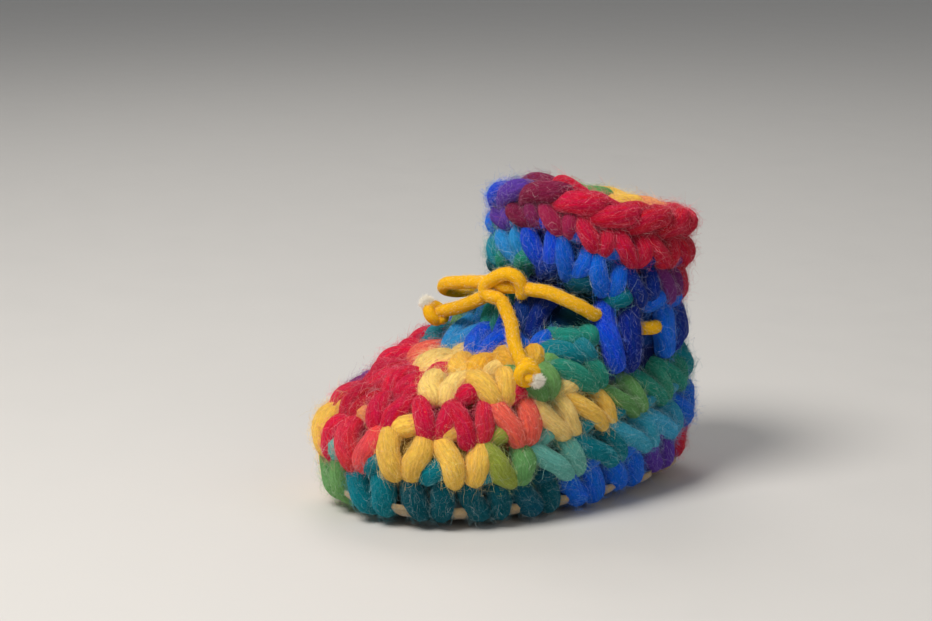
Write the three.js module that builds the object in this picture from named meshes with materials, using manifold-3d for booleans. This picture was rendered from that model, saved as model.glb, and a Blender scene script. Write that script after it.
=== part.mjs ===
// A baby's crocheted bootie slipper: a thick wool upper worked in rounds onto a suede sole, with a
// fleece insole and a cotton drawstring at the ankle. Millimetres, +Z up, toe towards -Y, wearer's
// left at +X. The origin is in the middle of the sole's underside.

import * as THREE from "three";
import { mergeVertices } from "three/addons/utils/BufferGeometryUtils.js";
import Module from "manifold-3d";

const wasm = await Module();
wasm.setup();

// Driving dimensions
const LENGTH = 112; // toe to heel along the middle of the wool wall
const BALL_WIDTH = 68; // across the middle of the wall at its widest
const INSTEP_HEIGHT = 59.5; // floor to the drawstring at the front of the ankle
const SIDE_HEIGHT = 53.5; // floor to the drawstring at the side
const HEEL_HEIGHT = 52; // floor to the drawstring over the heel
const OUTER_FACE = 3.5; // middle of the wall to the plain outer face, without the stitches
const INNER_FACE = 3; // middle of the wall to the inside
const ROUNDNESS = 0.92; // under 1 makes a section fuller than an ellipse
const RISE_POWER = 1.3; // how a round climbs from its side to toe and heel
const COLLAR_PEAK = { rise: 6.5, turn: 152, spread: 38 }; // the collar stands up here, in degrees
const PEAK_LEVELS = { none: 6, full: 7.5 };
const TOE_SAG = { drop: 3.6, turn: 216, spread: 33 }; // the soft toe sags here, in degrees
const SAG_LEVELS = { from: 1.2, full: 2.6, until: 4.2, none: 5.6 };
const CRAMP_GAPS = { none: 5, full: 11 }; // a round this low has no V stitches, or full ones
const GAP = 0.3; // between pieces that meet
const RIM_CROWN = 2.4; // how far the collar's edge stands above its round
const RIM_TURN_IN = 0.8; // how far that edge turns in from the plain outer face
const RIM_COLUMNS = 30;
const INNER_COLUMNS = 28;
const INNER_STEPS = { tall: 1, short: 0.8 }; // between rings of the inside, in rounds
const INNER_END = 0.7; // the inside's lowest ring stays above this
const SKIRT = { hem: 1.5, inside: 2.2, foot: 0.6, out: 1.2 }; // the wall's bottom edge
const SUEDE = 2;
const SUEDE_INSET = 1.7; // the suede's edge inside the middle of the wall
const EDGE_RISE = 6.4; // how far the suede's edge curls up off the floor
const TOE_SPRING = 1.4; // more of that at the toe
const FLAT_INSET = 18; // the suede is flat from here inwards
const RISE_CURVE = 1.4;
const HOLE_INSET = 7.5;
const HOLE_RADIUS = 2;
const HOLE_LENGTH = 30; // of the cutter
const FLEECE = 4;
const FLEECE_INSET = 3.6; // the fleece's edge inside the middle of the wall
const PLATE_COLUMNS = 36;
const PLATE_SPINE = { toe: -20, heel: 22, share: 0.38 }; // the flat's edge is drawn in to this line
const CORD = 4; // drawstring's diameter
const CORD_SIDES = 8;

// The rounds of the upper, from the sole to the collar: where each one starts. Toe, widest and heel
// are shares of LENGTH, half is a share of BALL_WIDTH, and the three heights are shares of
// INSTEP_HEIGHT, SIDE_HEIGHT and HEEL_HEIGHT. Stitches is the count in the round that starts here,
// and start is how far its first stitch begins past the middle of the heel, in stitches.
const ROUNDS = [
  {
    name: "sole", toe: -0.464, toeUp: 0.109, half: 0.449, widest: -0.107, sideUp: 0.093,
    heel: 0.478, heelUp: 0.106, stitches: 17, start: 0.25,
  },
  {
    name: "foot", toe: -0.496, toeUp: 0.319, half: 0.493, widest: -0.107, sideUp: 0.271,
    heel: 0.509, heelUp: 0.365, stitches: 20, start: 0.85,
  },
  {
    name: "side", toe: -0.455, toeUp: 0.487, half: 0.485, widest: -0.089, sideUp: 0.467,
    heel: 0.504, heelUp: 0.596, stitches: 22, start: 0.55,
  },
  {
    name: "vamp", toe: -0.366, toeUp: 0.580, half: 0.456, widest: -0.045, sideUp: 0.701,
    heel: 0.491, heelUp: 0.798, stitches: 18, start: 0.25,
  },
  {
    name: "instep", toe: -0.241, toeUp: 0.647, half: 0.419, widest: 0.089, sideUp: 0.850,
    heel: 0.478, heelUp: 0.875, stitches: 16, start: 0.5,
  },
  {
    name: "throat", toe: -0.107, toeUp: 0.723, half: 0.390, widest: 0.170, sideUp: 0.935,
    heel: 0.464, heelUp: 0.942, stitches: 16, start: 0,
  },
  {
    name: "ankle", toe: 0.027, toeUp: 1.000, half: 0.368, widest: 0.241, sideUp: 1.000,
    heel: 0.455, heelUp: 1.000, stitches: 16, start: 0.5,
  },
  {
    name: "cuff", toe: 0.027, toeUp: 1.126, half: 0.360, widest: 0.246, sideUp: 1.103,
    heel: 0.460, heelUp: 1.087, stitches: 15, start: 0,
  },
  {
    name: "band", toe: 0.027, toeUp: 1.294, half: 0.368, widest: 0.250, sideUp: 1.318,
    heel: 0.482, heelUp: 1.279, stitches: 15, start: 0.5,
  },
  {
    name: "chain", toe: 0.027, toeUp: 1.388, half: 0.375, widest: 0.254, sideUp: 1.480,
    heel: 0.496, heelUp: 1.413, stitches: 15, start: 0,
  },
  {
    name: "rim", toe: 0.031, toeUp: 1.445, half: 0.368, widest: 0.254, sideUp: 1.563,
    heel: 0.491, heelUp: 1.504, stitches: 15, start: 0.5,
  },
];
const FIRST_SHORT = 3; // the vamp's rounds are cramped over the heel, where tall posts stand instead
const POSTS_END = 7;
const CHAIN = 9;
const RIM = 10;

// One V stitch from its foot up: spread is from its crease to each leg, in stitches, and the rest
// stand out from the plain outer face.
const V_STITCH = [
  { up: 0, spread: 0.13, valley: 1, leg: -1, crease: -1.3 },
  { up: 0.28, spread: 0.18, valley: -1.2, leg: 1, crease: 0.4 },
  { up: 0.62, spread: 0.25, valley: -1.9, leg: 1.7, crease: -0.6 },
  { up: 0.88, spread: 0.27, valley: -1.2, leg: 1, crease: -0.2 },
];
const SHORT_STITCH = [
  { up: 0, spread: 0.13, valley: 1, leg: -1, crease: -1.3 },
  { up: 0.4, spread: 0.2, valley: -1.6, leg: 1.5, crease: 0 },
  { up: 0.8, spread: 0.27, valley: -1.4, leg: 1.2, crease: -0.4 },
];
const CHAIN_STITCH = [
  { up: 0, spread: 0.25, valley: -1.2, leg: 0, crease: -0.4 },
  { up: 0.5, spread: 0.27, valley: -1, leg: 1.6, crease: 1.8 },
];
const POST = { leg: 1.6, valley: -1.8 };

// The yarn that holds the sole: from the bottom edge inwards under the suede and up its hole.
// Inset is from the suede's edge, half and thick are half sizes, and pitch turns up from level.
const CLAW = [
  { inset: -2.6, half: 4, thick: 1.6, pitch: 0 },
  { inset: 2.4, half: 3.8, thick: 1.5, pitch: 0 },
  { inset: 6.1, half: 2, thick: 1.25, pitch: 15 },
  { inset: 7.4, half: 1.4, thick: 1.2, pitch: 75 },
];
const CLAW_SIDES = 6;
const CLAW_TIP = 1.4; // how far up its hole the yarn ends
const CLAW_TOP = 4.4; // the highest that its middle runs

// The drawstring round the ankle, from the near side round the heel to the far side. Turn is in
// degrees from the heel towards +X, out is from the middle of the wall, and drop is under the round.
const RUN = [
  { turn: 112, out: 0.6, drop: 0.6 },
  { turn: 103, out: -0.6, drop: 1.4 },
  { turn: 90, out: -0.4, drop: 2.4 },
  { turn: 75, out: 2.6, drop: 2.8 },
  { turn: 58, out: -0.4, drop: 2.2 },
  { turn: 36, out: 2.2, drop: 1.4 },
  { turn: 14, out: -0.4, drop: 0.8 },
  { turn: -10, out: 2.2, drop: 0 },
  { turn: -34, out: -0.4, drop: 0 },
  { turn: -58, out: 2.2, drop: 0 },
  { turn: -82, out: -0.4, drop: 0 },
  { turn: -104, out: 2.4, drop: 0 },
  { turn: -117, out: 0.2, drop: 0 },
  { turn: -126, out: 1.8, drop: 0 },
  { turn: -136, out: 6, drop: 0 },
];

// Cord routes chosen by hand: the bar from the knot to the near side, the slack loop on the far
// side, and the two ends.
const BAR = [
  [10.8, -3, 64],
  [15.4, -1.4, 64.1],
  [19.8, 1, 63.6],
  [23.5, 4.8, 61.8],
  [25.9, 9, 59.4],
  [26.4, 12.8, 57],
];
const LOOP = [
  [3, -6.2, 64.2],
  [-8, -9.8, 62.5],
  [-16.4, -11.5, 60.7],
  [-20.2, -10.4, 58.4],
  [-21.6, -6, 56.8],
  [-21.4, -1.5, 56.6],
  [-20.4, 2.6, 56.6],
];
const END_SIDE = [
  [8.8, -8.2, 61.4],
  [11.9, -7.4, 57],
  [15.9, -8.5, 54.1],
  [24.5, -12.5, 50.3],
  [31.2, -14.1, 46.8],
];
const END_TOE = [
  [5.6, -7.6, 61.8],
  [3, -9.4, 60.2],
  [-3.4, -11.8, 57],
  [-8.6, -12.8, 54.9],
  [-12.2, -14.2, 53.6],
];
const KNOT_CENTRE = [7.3, -5.4, 64.3];
const KNOT_TURN = 32; // degrees that the knot faces round from the toe
const KNOT_RING = [
  [5.4, 0.4, -3],
  [5.7, -1, 0.4],
  [4.4, -1.8, 2.9],
  [1.2, -2.2, 3.6],
  [-2.6, -2.2, 1.9],
  [-5.4, -2, -0.4],
  [-5.4, -2.2, -2.6],
  [-3, -2.8, -3.5],
  [0.4, -3, -3.4],
  [2.6, -2.4, -2.6],
];
const KNOT_CORE = [[-5.2, 1, 0.2], [-1.5, -0.4, -0.4], [1.6, -0.4, -0.6], [4.6, 1, 0]];
const END_KNOT = { radius: 4.1, half: 4.2, waist: 3.7, bulge: 0.45, sides: 10 };
const CORD_STEP = 8; // length of a facet of the drawstring
const KNOT_STEP = 4;

const sections = ROUNDS.map((round) => ({
  toe: new THREE.Vector2(round.toe * LENGTH, round.toeUp * INSTEP_HEIGHT),
  side: new THREE.Vector3(round.half * BALL_WIDTH, round.widest * LENGTH, round.sideUp * SIDE_HEIGHT),
  heel: new THREE.Vector2(round.heel * LENGTH, round.heelUp * HEEL_HEIGHT),
}));

function smooth(low, high, value) {
  return THREE.MathUtils.smoothstep(value, low, high);
}

// The value at a height between rounds, on a smooth curve through the rounds.
function between(pick, level) {
  const i = Math.min(Math.floor(level), RIM - 1);
  const t = level - i;
  const at = (k) => pick(sections[THREE.MathUtils.clamp(k, 0, RIM)]);
  const [a, b, c, d] = [at(i - 1), at(i), at(i + 1), at(i + 2)];
  const curve = 2 * b + (c - a) * t + (2 * a - 5 * b + 4 * c - d) * t ** 2;
  return (curve + (3 * b - a - 3 * c + d) * t ** 3) / 2;
}

// How much of a form centred on a turn is left at another turn, from 1 at its centre.
function nearTurn(turn, place) {
  const from = turn - THREE.MathUtils.degToRad(place.turn);
  const away = Math.atan2(Math.sin(from), Math.cos(from));
  return Math.exp(-((THREE.MathUtils.radToDeg(away) / place.spread) ** 2));
}

// A point in the middle of the wall. Level counts rounds from the sole, and turn runs from the heel
// through +X to the toe, in radians.
function middle(level, turn) {
  const c = Math.cos(turn);
  const s = Math.sin(turn);
  const half = between((q) => q.side.x, level);
  const widest = between((q) => q.side.y, level);
  const sideUp = between((q) => q.side.z, level);
  const end = between((q) => (c > 0 ? q.heel.x : q.toe.x), level);
  const endUp = between((q) => (c > 0 ? q.heel.y : q.toe.y), level);
  const across = Math.sign(s) * Math.abs(s) ** ROUNDNESS;
  const raised = smooth(PEAK_LEVELS.none, PEAK_LEVELS.full, level);
  const peak = COLLAR_PEAK.rise * nearTurn(turn, COLLAR_PEAK) * raised;
  const sagging = smooth(SAG_LEVELS.from, SAG_LEVELS.full, level);
  const held = smooth(SAG_LEVELS.until, SAG_LEVELS.none, level);
  const sag = TOE_SAG.drop * nearTurn(turn, TOE_SAG) * sagging * (1 - held);
  return new THREE.Vector3(
    half * across,
    widest + (end - widest) * Math.abs(c),
    sideUp + (endUp - sideUp) * Math.abs(c) ** RISE_POWER + peak - sag,
  );
}

function wallNormal(level, turn) {
  const step = 0.01;
  const low = Math.max(level - step * 20, 0);
  const high = Math.min(level + step * 20, RIM);
  const round = middle(level, turn + step).sub(middle(level, turn - step));
  const up = middle(high, turn).sub(middle(low, turn));
  return up.cross(round).normalize();
}

function wallPoint(level, turn, out) {
  return middle(level, turn).addScaledVector(wallNormal(level, turn), out);
}

// Turns that divide a round into equal lengths, starting at the heel.
const MEASURE_STEPS = 240;
const measured = new Map();
function turnAt(level, share) {
  if (!measured.has(level)) {
    const lengths = [0];
    for (let i = 1; i <= MEASURE_STEPS; i++) {
      const a = middle(level, ((i - 1) / MEASURE_STEPS) * 2 * Math.PI);
      const b = middle(level, (i / MEASURE_STEPS) * 2 * Math.PI);
      lengths.push(lengths[i - 1] + a.distanceTo(b));
    }
    measured.set(level, lengths);
  }
  const lengths = measured.get(level);
  const whole = Math.floor(share);
  const wanted = (share - whole) * lengths[MEASURE_STEPS];
  let i = 1;
  while (lengths[i] < wanted) i++;
  const part = (wanted - lengths[i - 1]) / (lengths[i] - lengths[i - 1]);
  return (whole + (i - 1 + part) / MEASURE_STEPS) * 2 * Math.PI;
}

// Joins two closed rings, whose points each hold their share of the turn, by a strip of triangles.
function zip(a, b, triangles) {
  let i = 0;
  let j = 0;
  const share = (ring, k) => ring[k % ring.length].share + Math.floor(k / ring.length);
  while (i < a.length || j < b.length) {
    const takeA = j >= b.length || (i < a.length && share(a, i + 1) <= share(b, j + 1));
    const next = takeA ? a[(i + 1) % a.length] : b[(j + 1) % b.length];
    triangles.push([a[i % a.length].id, next.id, b[j % b.length].id]);
    if (takeA) i++;
    else j++;
  }
}

function geometryFrom(points, triangles) {
  const geometry = new THREE.BufferGeometry();
  const numbers = points.flatMap((p) => p.toArray());
  geometry.setAttribute("position", new THREE.Float32BufferAttribute(numbers, 3));
  geometry.setIndex(triangles.flat());
  return outwards(geometry);
}

// Turns a closed mesh's faces outwards where they point in.
function outwards(geometry) {
  const p = geometry.getAttribute("position");
  const index = geometry.getIndex().array;
  const corner = (k) => new THREE.Vector3().fromBufferAttribute(p, index[k]);
  let volume = 0;
  for (let k = 0; k < index.length; k += 3) volume += corner(k).dot(corner(k + 1).cross(corner(k + 2)));
  if (volume < 0) {
    for (let k = 0; k < index.length; k += 3) [index[k], index[k + 1]] = [index[k + 1], index[k]];
  }
  return geometry;
}

function solid(geometry) {
  const plain = geometry.index ? geometry.clone() : geometry;
  plain.deleteAttribute("normal");
  plain.deleteAttribute("uv");
  const merged = mergeVertices(plain, 1e-4);
  return new wasm.Manifold(new wasm.Mesh({
    numProp: 3,
    vertProperties: Float32Array.from(merged.getAttribute("position").array),
    triVerts: Uint32Array.from(merged.getIndex().array),
  }));
}

function geometryOf(body) {
  const mesh = body.getMesh();
  const geometry = new THREE.BufferGeometry();
  geometry.setAttribute("position", new THREE.BufferAttribute(mesh.vertProperties, 3));
  geometry.setIndex(new THREE.BufferAttribute(mesh.triVerts, 1));
  return geometry;
}

// Strips of triangles between rings of the same count.
function strips(rings) {
  const count = rings[0].length;
  const triangles = [];
  for (let r = 0; r + 1 < rings.length; r++) {
    for (let i = 0; i < count; i++) {
      const a = r * count + i;
      const b = r * count + ((i + 1) % count);
      triangles.push([a, b, b + count], [a, b + count, a + count]);
    }
  }
  return triangles;
}

// A closed body through rings, with flat ends.
function loft(rings) {
  const count = rings[0].length;
  const triangles = strips(rings);
  const last = (rings.length - 1) * count;
  for (let i = 1; i + 1 < count; i++) triangles.push([0, i + 1, i], [last, last + i, last + i + 1]);
  return geometryFrom(rings.flat(), triangles);
}

// A closed body through rings, closed by a fan to one point at each end.
function loftToPoints(rings, first, final) {
  const count = rings[0].length;
  const points = [...rings.flat(), first, final];
  const triangles = strips(rings);
  const last = (rings.length - 1) * count;
  for (let i = 0; i < count; i++) {
    const next = (i + 1) % count;
    triangles.push([last + count, next, i], [last + count + 1, last + i, last + next]);
  }
  return geometryFrom(points, triangles);
}

function curveThrough(points) {
  const vectors = points.map((p) => (p.isVector3 ? p : new THREE.Vector3(...p)));
  return new THREE.CatmullRomCurve3(vectors, false, "centripetal");
}

// A round cord through the points. Longer reaches past both of its ends.
function tube(points, radius, stepLength, longer = 0) {
  const inner = curveThrough(points);
  const start = inner.getPoint(0).addScaledVector(inner.getTangent(0), -longer);
  const end = inner.getPoint(1).addScaledVector(inner.getTangent(1), longer);
  const path = curveThrough([start, ...points.slice(1, -1), end]);
  const circle = new THREE.Shape().absarc(0, 0, radius, 0, 2 * Math.PI);
  const steps = Math.ceil(path.getLength() / stepLength);
  return new THREE.ExtrudeGeometry(circle, {
    steps,
    curveSegments: CORD_SIDES / 2,
    extrudePath: path,
    bevelEnabled: false,
  });
}

// 1 at the toe and 0 along the sides and heel.
function toeShare(turn) {
  return Math.max(0, -Math.cos(turn)) ** 3;
}

// The height of the suede's underside at an inset from its edge.
function suedeUnder(inset, turn) {
  const left = 1 - THREE.MathUtils.clamp(inset, 0, FLAT_INSET) / FLAT_INSET;
  return (EDGE_RISE + TOE_SPRING * toeShare(turn)) * left ** RISE_CURVE;
}

// A point of the bottom's plan, inwards of the middle of the wall, at a height.
function planPoint(turn, inset, height) {
  const step = 0.01;
  const along = middle(0, turn + step).sub(middle(0, turn - step)).setZ(0).normalize();
  const point = middle(0, turn);
  return new THREE.Vector3(point.x + along.y * inset, point.y - along.x * inset, height);
}

// How far the V stitches of a short round show here: 1 where there is room, 0 where posts stand.
function roomAt(row, turn) {
  if (row < FIRST_SHORT || row >= POSTS_END) return 1;
  const height = middle(row, turn).distanceTo(middle(row + 1, turn));
  return smooth(CRAMP_GAPS.none, CRAMP_GAPS.full, height);
}

function stitchedRing(row, part) {
  const { stitches, start } = ROUNDS[row];
  const level = row + part.up;
  const columns = [
    { at: 0, out: part.valley, post: POST.valley },
    { at: 0.5 - part.spread, out: part.leg, post: POST.leg },
    { at: 0.5, out: part.crease, post: POST.leg },
    { at: 0.5 + part.spread, out: part.leg, post: POST.leg },
  ];
  const ring = [];
  for (let k = 0; k < stitches; k++) {
    for (const column of columns) {
      const share = ((k + column.at + start) / stitches) % 1;
      const turn = turnAt(level, share);
      const room = roomAt(row, turn);
      const out = OUTER_FACE + room * column.out + (1 - room) * column.post;
      ring.push({ share, point: wallPoint(level, turn, out) });
    }
  }
  return ring.sort((a, b) => a.share - b.share);
}

function plainRing(count, place) {
  return Array.from({ length: count }, (_, k) => ({ share: k / count, point: place(k / count) }));
}

function buildUpper() {
  const rings = [];
  for (let row = 0; row < RIM; row++) {
    const short = row >= FIRST_SHORT && row < POSTS_END;
    const stitch = row === CHAIN ? CHAIN_STITCH : short ? SHORT_STITCH : V_STITCH;
    for (const part of stitch) rings.push(stitchedRing(row, part));
  }
  const rimTurn = (share) => turnAt(RIM, share);
  const rimEdge = (share) => wallPoint(RIM, rimTurn(share), OUTER_FACE - RIM_TURN_IN);
  const rimTop = (share) => middle(RIM, rimTurn(share)).add(new THREE.Vector3(0, 0, RIM_CROWN));
  rings.push(plainRing(RIM_COLUMNS, rimEdge), plainRing(RIM_COLUMNS, rimTop));
  let level = RIM;
  while (level > INNER_END) {
    const at = level;
    const inside = (share) => wallPoint(at, turnAt(at, share), -INNER_FACE);
    rings.push(plainRing(INNER_COLUMNS, inside));
    const inShort = level > FIRST_SHORT && level <= POSTS_END;
    level -= inShort ? INNER_STEPS.short : INNER_STEPS.tall;
  }
  // The wall stands on the suede's edge, and a skirt hangs outside that edge.
  const overEdge = (turn) => suedeUnder(0, turn) + SUEDE + 2 * GAP;
  const hem = (turn) => SKIRT.hem + TOE_SPRING * toeShare(turn);
  const bottom = [
    { inset: INNER_FACE - SKIRT.foot, height: overEdge },
    { inset: SUEDE_INSET - 2 * GAP, height: overEdge },
    { inset: SUEDE_INSET - 2 * GAP, height: () => SKIRT.inside },
    { inset: -SKIRT.out, height: hem },
  ];
  for (const edge of bottom) {
    rings.push(plainRing(2 * ROUNDS[0].stitches, (share) => {
      const turn = turnAt(0, share);
      return planPoint(turn, edge.inset, edge.height(turn));
    }));
  }
  const points = [];
  for (const ring of rings) {
    for (const corner of ring) {
      corner.id = points.length;
      points.push(corner.point);
    }
  }
  const triangles = [];
  rings.forEach((ring, r) => zip(ring, rings[(r + 1) % rings.length], triangles));
  return geometryFrom(points, triangles);
}

// The places of the stitches of the first round, each over one hole of the sole.
function soleTurns() {
  const { stitches, start } = ROUNDS[0];
  return Array.from({ length: stitches }, (_, k) => turnAt(0, (k + 0.5 + start) / stitches));
}

function buildClaw(turn) {
  const along = planPoint(turn + 0.01, 0, 0).sub(planPoint(turn - 0.01, 0, 0)).normalize();
  const inwards = new THREE.Vector3(along.y, -along.x, 0);
  const ring = (centre, part) => {
    const pitch = THREE.MathUtils.degToRad(part.pitch);
    const across = inwards.clone().multiplyScalar(-Math.sin(pitch)).setZ(Math.cos(pitch));
    return Array.from({ length: CLAW_SIDES }, (_, k) => {
      const angle = (k / CLAW_SIDES) * 2 * Math.PI;
      return centre.clone()
        .addScaledVector(along, part.half * Math.cos(angle))
        .addScaledVector(across, (part.thick * Math.sin(angle)) / Math.sin(Math.PI / 3));
    });
  };
  const rings = CLAW.map((part) => {
    const height = suedeUnder(part.inset, turn) - GAP - part.thick;
    return ring(planPoint(turn, SUEDE_INSET + part.inset, Math.min(height, CLAW_TOP)), part);
  });
  const tip = CLAW.at(-1);
  const tipHeight = suedeUnder(HOLE_INSET, turn) + CLAW_TIP;
  rings.push(ring(planPoint(turn, SUEDE_INSET + HOLE_INSET, tipHeight), { ...tip, pitch: 90 }));
  return loft(rings);
}

// A dished plate through plan rings, closed by a fan at its middle above and below. Its last ring is
// part of the way from the one before it to the spine.
function dishedPlate(insets, edgeInset, under, over) {
  const columns = PLATE_COLUMNS;
  const deepest = insets.at(-2);
  const ringAt = (inset, height) => Array.from({ length: columns }, (_, k) => {
    const turn = turnAt(0, k / columns);
    const point = planPoint(turn, edgeInset + Math.min(inset, deepest), height(inset, turn));
    if (inset <= deepest) return point;
    const along = THREE.MathUtils.clamp(point.y, PLATE_SPINE.toe, PLATE_SPINE.heel);
    return point.lerp(new THREE.Vector3(0, along, point.z), PLATE_SPINE.share);
  });
  const rings = [
    ...insets.toReversed().map((inset) => ringAt(inset, under)),
    ...insets.map((inset) => ringAt(inset, over)),
  ];
  const low = new THREE.Vector3(0, 0, under(FLAT_INSET, 0));
  const high = new THREE.Vector3(0, 0, over(FLAT_INSET, 0));
  return loftToPoints(rings, low, high);
}

function buildSole() {
  const over = (inset, turn) => suedeUnder(inset, turn) + SUEDE;
  const plate = dishedPlate([0, 5, 11, FLAT_INSET], SUEDE_INSET, suedeUnder, over);
  let body = solid(plate);
  for (const turn of soleTurns()) {
    const hole = new THREE.CylinderGeometry(HOLE_RADIUS, HOLE_RADIUS, HOLE_LENGTH, CLAW_SIDES);
    hole.rotateX(Math.PI / 2);
    const centre = planPoint(turn, SUEDE_INSET + HOLE_INSET, 0);
    hole.translate(centre.x, centre.y, centre.z);
    body = body.subtract(solid(hole));
  }
  return geometryOf(body);
}

function buildInsole() {
  const shift = FLEECE_INSET - SUEDE_INSET;
  const under = (inset, turn) => suedeUnder(inset + shift, turn) + SUEDE + 2 * GAP;
  const over = (inset, turn) => under(inset, turn) + (inset > 0 ? FLEECE : FLEECE / 2);
  return dishedPlate([0, 3, 9, FLAT_INSET - shift], FLEECE_INSET, under, over);
}

function ankleRun() {
  const level = ROUNDS.findIndex((round) => round.name === "ankle");
  const around = RUN.map((p) => {
    const point = wallPoint(level, THREE.MathUtils.degToRad(p.turn), p.out);
    return point.setZ(point.z - p.drop);
  });
  return [...BAR, ...around];
}

// The knot that ties the drawstring: a ring of cord round a core. Grow thickens its cord.
function buildKnot(grow) {
  const radius = CORD / 2 + grow;
  const ring = solid(tube(KNOT_RING, radius, KNOT_STEP, grow));
  const body = ring.add(solid(tube(KNOT_CORE, radius, KNOT_STEP, grow)));
  const knot = geometryOf(body);
  knot.rotateZ(THREE.MathUtils.degToRad(KNOT_TURN));
  knot.translate(...KNOT_CENTRE);
  return solid(knot);
}

// The knot at a cord's end: a barrel with a waist, beyond the last point of its cord.
function buildEndKnot(route, grow) {
  const radius = END_KNOT.radius + grow;
  const half = END_KNOT.half + grow;
  const waist = END_KNOT.waist + grow;
  const profile = [
    [0, -half],
    [CORD / 2, -half],
    [radius, -half * END_KNOT.bulge],
    [waist, 0],
    [radius, half * END_KNOT.bulge],
    [CORD / 2, half],
    [0, half],
  ];
  const outline = profile.map(([r, y]) => new THREE.Vector2(r, y));
  const knot = new THREE.LatheGeometry(outline, END_KNOT.sides);
  const end = new THREE.Vector3(...route.at(-1));
  const way = curveThrough(route).getTangent(1);
  knot.applyQuaternion(new THREE.Quaternion().setFromUnitVectors(new THREE.Vector3(0, 1, 0), way));
  const centre = end.addScaledVector(way, END_KNOT.half + GAP);
  knot.translate(centre.x, centre.y, centre.z);
  return solid(knot);
}

// What is left of a cord outside the knot.
function clearOfKnot(points) {
  const pieces = solid(tube(points, CORD / 2, CORD_STEP)).subtract(buildKnot(GAP)).decompose();
  return pieces.sort((a, b) => b.volume() - a.volume())[0];
}

const materials = {
  wool: new THREE.MeshStandardMaterial({ color: 0x2f6f86, roughness: 0.95, metalness: 0 }),
  suede: new THREE.MeshStandardMaterial({ color: 0xa58c64, roughness: 0.95, metalness: 0 }),
  fleece: new THREE.MeshStandardMaterial({ color: 0xebe1cd, roughness: 1, metalness: 0 }),
  cotton: new THREE.MeshStandardMaterial({ color: 0xf0b41e, roughness: 0.9, metalness: 0 }),
};

const bootie = new THREE.Group();
function addPiece(name, geometry, material) {
  const mesh = new THREE.Mesh(geometry, material);
  mesh.name = name;
  bootie.add(mesh);
}

const run = ankleRun();
let upper = solid(buildUpper());
for (const turn of soleTurns()) upper = upper.add(solid(buildClaw(turn)));
// The wool gives way where the drawstring runs through it and where its loop and ends lie.
for (const route of [run, LOOP, END_SIDE, END_TOE]) {
  upper = upper.subtract(solid(tube(route, CORD / 2 + 2 * GAP, CORD_STEP, GAP)));
}
for (const body of [buildKnot(GAP), buildEndKnot(END_SIDE, GAP), buildEndKnot(END_TOE, GAP)]) {
  upper = upper.subtract(body);
}

addPiece("sole", buildSole(), materials.suede);
addPiece("insole", buildInsole(), materials.fleece);
addPiece("upper", geometryOf(upper), materials.wool);
addPiece("cord_run", geometryOf(clearOfKnot(run)), materials.cotton);
addPiece("cord_loop", geometryOf(clearOfKnot(LOOP)), materials.cotton);
addPiece("cord_knot", geometryOf(buildKnot(0)), materials.cotton);
addPiece("cord_end_side", geometryOf(clearOfKnot(END_SIDE)), materials.cotton);
addPiece("cord_end_toe", geometryOf(clearOfKnot(END_TOE)), materials.cotton);
addPiece("end_knot_side", geometryOf(buildEndKnot(END_SIDE, 0)), materials.cotton);
addPiece("end_knot_toe", geometryOf(buildEndKnot(END_TOE, 0)), materials.cotton);

export default bootie;
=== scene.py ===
"""Looks of a baby's crocheted bootie slipper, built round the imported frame.

The frame is in metres. The tables and shapes here are in millimetres, and to_mesh() turns them into metres.
"""

import math

import bpy
import numpy as np
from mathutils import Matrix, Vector


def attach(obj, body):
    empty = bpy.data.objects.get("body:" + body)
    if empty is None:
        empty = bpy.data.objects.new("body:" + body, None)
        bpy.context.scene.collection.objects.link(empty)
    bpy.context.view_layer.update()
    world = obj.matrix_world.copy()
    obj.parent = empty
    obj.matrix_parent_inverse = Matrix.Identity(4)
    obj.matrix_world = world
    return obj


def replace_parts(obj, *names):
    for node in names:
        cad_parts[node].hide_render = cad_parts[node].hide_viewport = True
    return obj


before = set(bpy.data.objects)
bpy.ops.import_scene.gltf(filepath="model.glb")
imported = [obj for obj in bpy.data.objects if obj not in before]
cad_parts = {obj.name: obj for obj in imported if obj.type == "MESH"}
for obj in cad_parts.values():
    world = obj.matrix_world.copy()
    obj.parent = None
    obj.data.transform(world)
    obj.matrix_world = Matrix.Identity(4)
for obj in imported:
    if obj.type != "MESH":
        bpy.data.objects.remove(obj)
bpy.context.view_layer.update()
rng = np.random.default_rng(11)
MM = 0.001

# The wool wall, as in the part's source. Each round: toe y and z, half width, y where it is widest,
# z at the side, heel y and z.
ROUNDS = np.array([
    (-52.0, 6.5, 30.5, -12, 5, 53.5, 5.5),
    (-55.5, 19, 33.5, -12, 14.5, 57, 19),
    (-51, 29, 33, -10, 25, 56.5, 31),
    (-41, 34.5, 31, -5, 37.5, 55, 41.5),
    (-27, 38.5, 28.5, 10, 45.5, 53.5, 45.5),
    (-12, 43, 26.5, 19, 50, 52, 49),
    (3, 59.5, 25, 27, 53.5, 51, 52),
    (3, 67, 24.5, 27.5, 59, 51.5, 56.5),
    (3, 77, 25, 28, 70.5, 54, 66.5),
    (3, 82.6, 25.5, 28.5, 79.2, 55.5, 73.5),
    (3.5, 86, 25, 28.5, 83.6, 55, 78.2),
])
RIM = 10
ANKLE = 6
POSTS_END = 7
ROUNDNESS = 0.92
RISE_POWER = 1.3
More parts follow.
